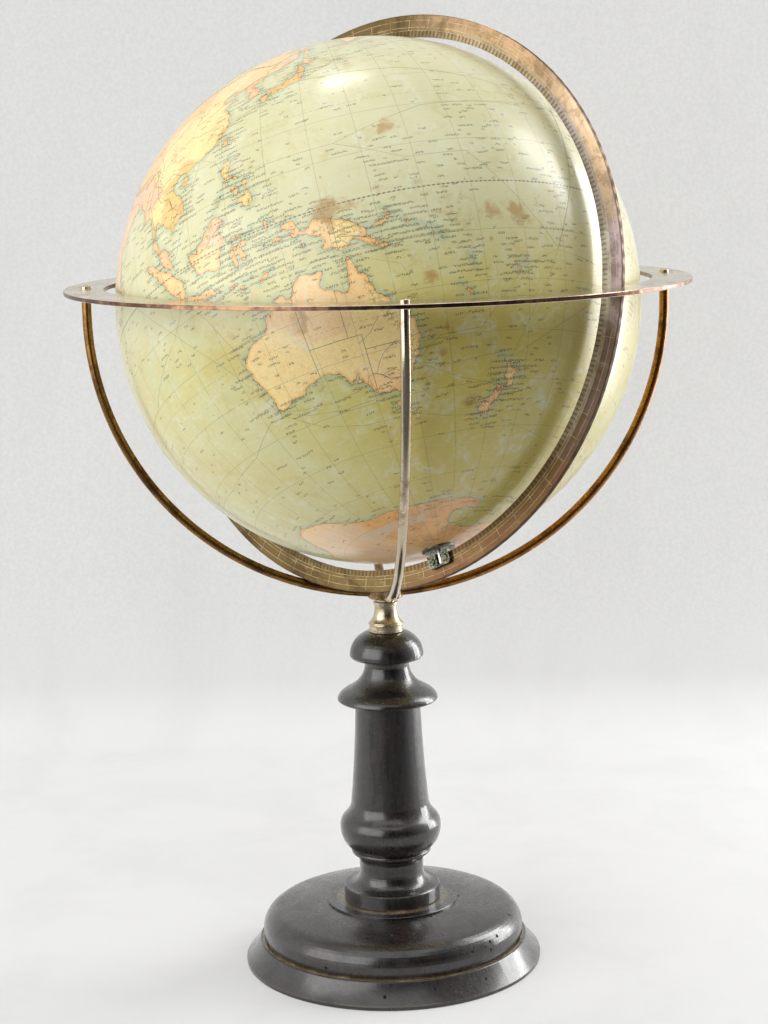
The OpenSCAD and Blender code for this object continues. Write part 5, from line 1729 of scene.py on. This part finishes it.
@dataclass
class Studio:
    """Camera, lamps, floor and wall."""

    eye: Vector = field(default_factory=lambda: Vector((0.8559, -1.0028, 0.5210)))
    pitch: float = math.radians(10.02)
    yaw: float = math.radians(-0.02)
    roll: float = math.radians(-1.35)
    focal: float = 75.9
    sensor: float = 36.0
    wall_distance: float = 0.52
    wall_height: float = 2.2
    floor_reach: float = 3.0
    sweep: float = 0.05
    sweep_steps: int = 12
    # Share of its own light in what the camera and the shiny pieces see of the backdrop
    wall_glow: float = 0.45
    lamps: tuple[Lamp, ...] = (
        Lamp("window_front", (-1.1, -0.95, 0.3), (1.7, 1.3), 19.4),
        Lamp("window_left", (-1.35, 0.05, 0.2), (0.9, 2.0), 2.8),
        Lamp("window_right", (1.2, 0.42, 0.25), (0.5, 1.9), 22.0),
        Lamp("window_rear", (0.8, 0.43, 0.0), (0.12, 1.0), 4.0),
        Lamp("skylight", (-0.2, 0.54, 1.34), (0.28, 0.28), 4.6),
        Lamp("ceiling", (-0.1, -0.6, 1.35), (1.9, 1.6), 10.8))

    @property
    def ahead(self) -> Vector:
        """The level direction from the camera to the object."""
        return Vector((-self.eye.x, -self.eye.y, 0)).normalized()

    def camera(self) -> None:
        """Sets the camera where the photographer's stood."""
        bearing = math.atan2(-self.eye.y, -self.eye.x) + self.yaw
        ahead = Vector((math.cos(bearing) * math.cos(self.pitch),
                        math.sin(bearing) * math.cos(self.pitch), -math.sin(self.pitch)))
        right = ahead.cross(Vector((0, 0, 1))).normalized()
        up = right.cross(ahead)
        c, s = math.cos(self.roll), math.sin(self.roll)
        right, up = right * c + up * s, up * c - right * s
        data = bpy.data.cameras.new("camera")
        data.sensor_width, data.lens = self.sensor, self.focal
        data.clip_start, data.clip_end = 0.05, 30.0
        holder = bpy.data.objects.new("camera", data)
        turn = Matrix((right, up, -ahead)).transposed().to_4x4()
        holder.matrix_world = Matrix.Translation(self.eye) @ turn
        bpy.context.scene.collection.objects.link(holder)
        bpy.context.scene.camera = holder

    def hang(self, lamp: Lamp) -> None:
        """Hangs one lamp.

        Args:
            lamp: What it is and where it goes.
        """
        data = bpy.data.lights.new(lamp.name, "AREA")
        data.shape = "RECTANGLE"
        data.size, data.size_y = lamp.size
        data.energy = lamp.watts
        holder = bpy.data.objects.new(lamp.name, data)
        right = self.ahead.cross(Vector((0, 0, 1)))
        across, back, over = lamp.place
        holder.location = CENTRE + right * across + self.ahead * back + Vector((0, 0, over))
        holder.rotation_mode = "QUATERNION"
        holder.rotation_quaternion = (CENTRE - holder.location).to_track_quat("-Z", "Y")
        bpy.context.scene.collection.objects.link(holder)

    def world(self) -> None:
        """A pale room, darker behind the camera."""
        made = bpy.data.worlds.new("room")
        bpy.context.scene.world = made
        made.use_nodes = True
        g = Graph(made.node_tree)
        back = made.node_tree.nodes["Background"]
        facing = self.toward_camera(g, g.node("TexCoord").outputs["Generated"])
        colour = g.mix(g.span(facing, 0.2, 0.8), linear(184, 184, 182), linear(40, 40, 40))
        path = g.node("LightPath")
        seen = g.mix(path.outputs["Is Camera Ray"], colour, linear(232, 232, 230))
        g.fill(back, {"Color": seen, "Strength": 1.0})

    def toward_camera(self, g: Graph, where: Value) -> bpy.types.NodeSocket:
        """How far a place lies on the camera's side of the object."""
        x, y, _ = g.parts(where)
        return g.add(g.mul(x, -self.ahead.x), g.mul(y, -self.ahead.y))

    def pick_corner(self, mesh: bpy.types.Mesh) -> None:
        """Selects only the edge where the floor ends at the wall."""
        for edge in bmesh.from_edit_mesh(mesh).edges:
            edge.select = all(abs(v.co.x - self.wall_distance) < NEAR and abs(v.co.z) < NEAR
                              for v in edge.verts)

    def backdrop(self) -> None:
        """A pale floor that turns up into a plain wall behind the object."""
        bpy.ops.object.select_all(action="DESELECT")
        bpy.ops.mesh.primitive_plane_add(size=1.0)
        piece = bpy.context.active_object
        near, side, far = -self.floor_reach, self.floor_reach, self.wall_distance
        for vertex, (x, y) in zip(piece.data.vertices,
                                  ((near, -side), (far, -side), (near, side), (far, side))):
            vertex.co = (x, y, 0)
        bpy.ops.object.mode_set(mode="EDIT")
        bpy.ops.mesh.select_all(action="DESELECT")
        bpy.ops.mesh.select_mode(type="EDGE")
        self.pick_corner(piece.data)
        bpy.ops.mesh.extrude_region_move(
            TRANSFORM_OT_translate={"value": (0, 0, self.wall_height)})
        self.pick_corner(piece.data)
        bpy.ops.mesh.bevel(offset=self.sweep, segments=self.sweep_steps)
        bpy.ops.mesh.select_all(action="SELECT")
        bpy.ops.mesh.normals_make_consistent(inside=True)
        bpy.ops.object.mode_set(mode="OBJECT")
        piece.data.transform(Matrix.Rotation(math.atan2(self.ahead.y, self.ahead.x), 4, "Z"))
        bpy.ops.object.shade_smooth()
        piece.name = "backdrop"
        dress(piece, self.backdrop_finish())
        piece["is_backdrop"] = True

    def backdrop_finish(self) -> bpy.types.Material:
        """Pale plaster, seen through from behind, whose floor casts little light in front."""
        made, g, shader = new_material("plaster")
        where = g.place()
        _, _, height = g.parts(where)
        wall = g.span(height, 0.0, 0.16)
        cloud = g.noise(g.place(scale=(1, 1, 0.3)), 9, 5, 0.65, 0.4)
        weave = g.noise(where, 320, 3, 0.7)
        colour = g.mix(wall, linear(224, 224, 224), linear(222, 222, 221))
        colour = g.mix(g.span(cloud, 0.4, 0.7, 0.0, 0.3), colour, linear(208, 208, 207))
        colour = g.mix(g.mul(wall, g.span(weave, 0.35, 0.65, 0.0, 0.3)), colour,
                       linear(200, 200, 199))
        path = g.node("LightPath")
        before = self.toward_camera(g, where)
        unseen = g.mul(g.span(before, 0.12, 0.5), g.sub(1.0, path.outputs["Is Camera Ray"]))
        colour = g.mix(unseen, colour, linear(104, 104, 104))
        rough_plaster = g.bump(g.noise(where, 260, 3, 0.6), 0.1, 0.6 * MM)
        g.fill(shader, {"Base Color": colour, "Roughness": 0.9, "Normal": rough_plaster})
        glow = g.node("Emission")
        g.fill(glow, {"Color": colour})
        seen = g.most(path.outputs["Is Camera Ray"], path.outputs["Is Glossy Ray"])
        lit = g.node("MixShader")
        g.fill(lit, {0: g.mul(seen, self.wall_glow), 1: shader.outputs[0], 2: glow.outputs[0]})
        clear = g.node("BsdfTransparent")
        both = g.node("MixShader")
        behind = g.node("NewGeometry").outputs["Backfacing"]
        g.fill(both, {0: behind, 1: lit.outputs[0], 2: clear.outputs[0]})
        g.fill(made.node_tree.nodes["Material Output"], {"Surface": both.outputs[0]})
        return made

    def build(self) -> None:
        """Makes the whole studio."""
        view = bpy.context.scene.view_settings
        view.view_transform = "Standard"
        self.camera()
        self.world()
        for lamp in self.lamps:
            self.hang(lamp)
        self.backdrop()


# ------------------------------------------------------------------ the globe


class Finish(Protocol):
    """Anything that builds a material."""

    def build(self) -> bpy.types.Material:
        """Makes the material."""


# Each finish of the metal, wooden and board pieces, and the CAD nodes that wear it
WARDROBE: tuple[tuple[Finish, str], ...] = (
    (EbonisedWood(), "base_plinth base_dome column"),
    (AgedMetal("worn_nickel", linear(206, 190, 162), linear(166, 146, 112),
               linear(234, 226, 206), 0.24, 60.0, 0.48, 0.7, 0.15), "ferrule arm_nuts"),
    (AgedMetal("front_rod_nickel", linear(196, 180, 156), linear(140, 118, 92),
               linear(226, 218, 206), 0.13, 50.0, 0.5, 0.72, 0.12, bright_share=0.64),
     "arm_front"),
    (AgedMetal("browned_rod", linear(142, 104, 56), linear(90, 62, 34), linear(176, 140, 84),
               0.24, 64.0, 0.42, 0.64, 0.25, bright_share=0.64), "arm_left arm_rear"),
    (AgedMetal("copper_rod", linear(158, 108, 58), linear(100, 66, 38), linear(204, 156, 88),
               0.24, 64.0, 0.44, 0.64, 0.25, bright_share=0.64), "arm_right"),
    (AgedMetal("hub_brass", linear(138, 112, 78), linear(84, 64, 44), linear(196, 170, 120),
               0.24, 130.0, 0.44, 0.64, 0.35), "hub"),
    (AgedMetal("bright_brass", linear(196, 158, 88), linear(140, 104, 58),
               linear(226, 196, 130), 0.3), "south_bush north_bush"),
    (AgedMetal("pin_steel", linear(214, 212, 206), linear(150, 146, 136),
               linear(246, 246, 242), 0.2, 200.0, 0.52, 0.72, 0.15), "south_pin north_pin"),
    (AgedMetal("verdigris", linear(134, 136, 116), linear(56, 64, 50), linear(188, 188, 170),
               0.36, 300.0, 0.4, 0.58, 0.7, bright_share=0.58),
     "south_clamp north_clamp south_washer north_washer south_clamp_screws north_clamp_screws"),
    (AgedMetal("dull_iron", linear(96, 90, 84), linear(58, 46, 40), linear(150, 144, 136),
               0.45, 120.0), "base_bolt ferrule_stud"),
    (PlainFinish("moulded_board", linear(196, 178, 140), linear(168, 148, 112)),
     "shell_south shell_north seam_strip"),
    (PlainFinish("raw_wood", linear(208, 176, 128), linear(176, 140, 94), 0.65, 160.0,
                 (1, 1, 0.08)), "axis_post"),
    (EngravedBrass(), "meridian_ring"),
    (PlatedRing(), "horizon_ring"),
)


@dataclass
class Wardrobe:
    """Dresses the CAD nodes."""

    nodes: dict[str, bpy.types.Object]

    def dress(self) -> None:
        """Builds each finish and puts it on its nodes."""
        for finish, names in WARDROBE:
            made = finish.build()
            for node in names.split():
                dress(self.nodes[node], made)
                LOG.info("dressed %s in %s", node, made.name)


def main() -> dict[str, tuple[Vector, Vector]]:
    """Builds the scene in order.

    Returns:
        The CAD model's box under its name.
    """
    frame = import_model()
    sizes = {"cad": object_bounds()}
    Studio().build()
    Wardrobe(frame["nodes"]).dress()
    ball = PrintedBall()
    gores = ball.build(PrintedPaper().build())
    for piece in gores:
        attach(piece, "globe")
        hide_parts("map_gores")
        LOG.info("made %s", piece.name)
    inks = {
        PrintedLine.BORDER: PrintersInk("border_ink", linear(84, 66, 44), linear(140, 108, 66)),
        PrintedLine.RIVER: PrintersInk("river_ink", linear(92, 92, 78), linear(128, 122, 92)),
        PrintedLine.ROUTE: PrintersInk("route_ink", linear(112, 112, 78), linear(150, 150, 104))}
    for kind, ink in inks.items():
        piece = ball.draw_lines(kind, ink.build())
        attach(piece, "globe")
        LOG.info("made %s", piece.name)
    return sizes


if __name__ == "__main__":
    logging.basicConfig(level=logging.INFO, format="%(message)s")
    boxes = main()
    boxes["visual"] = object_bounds()
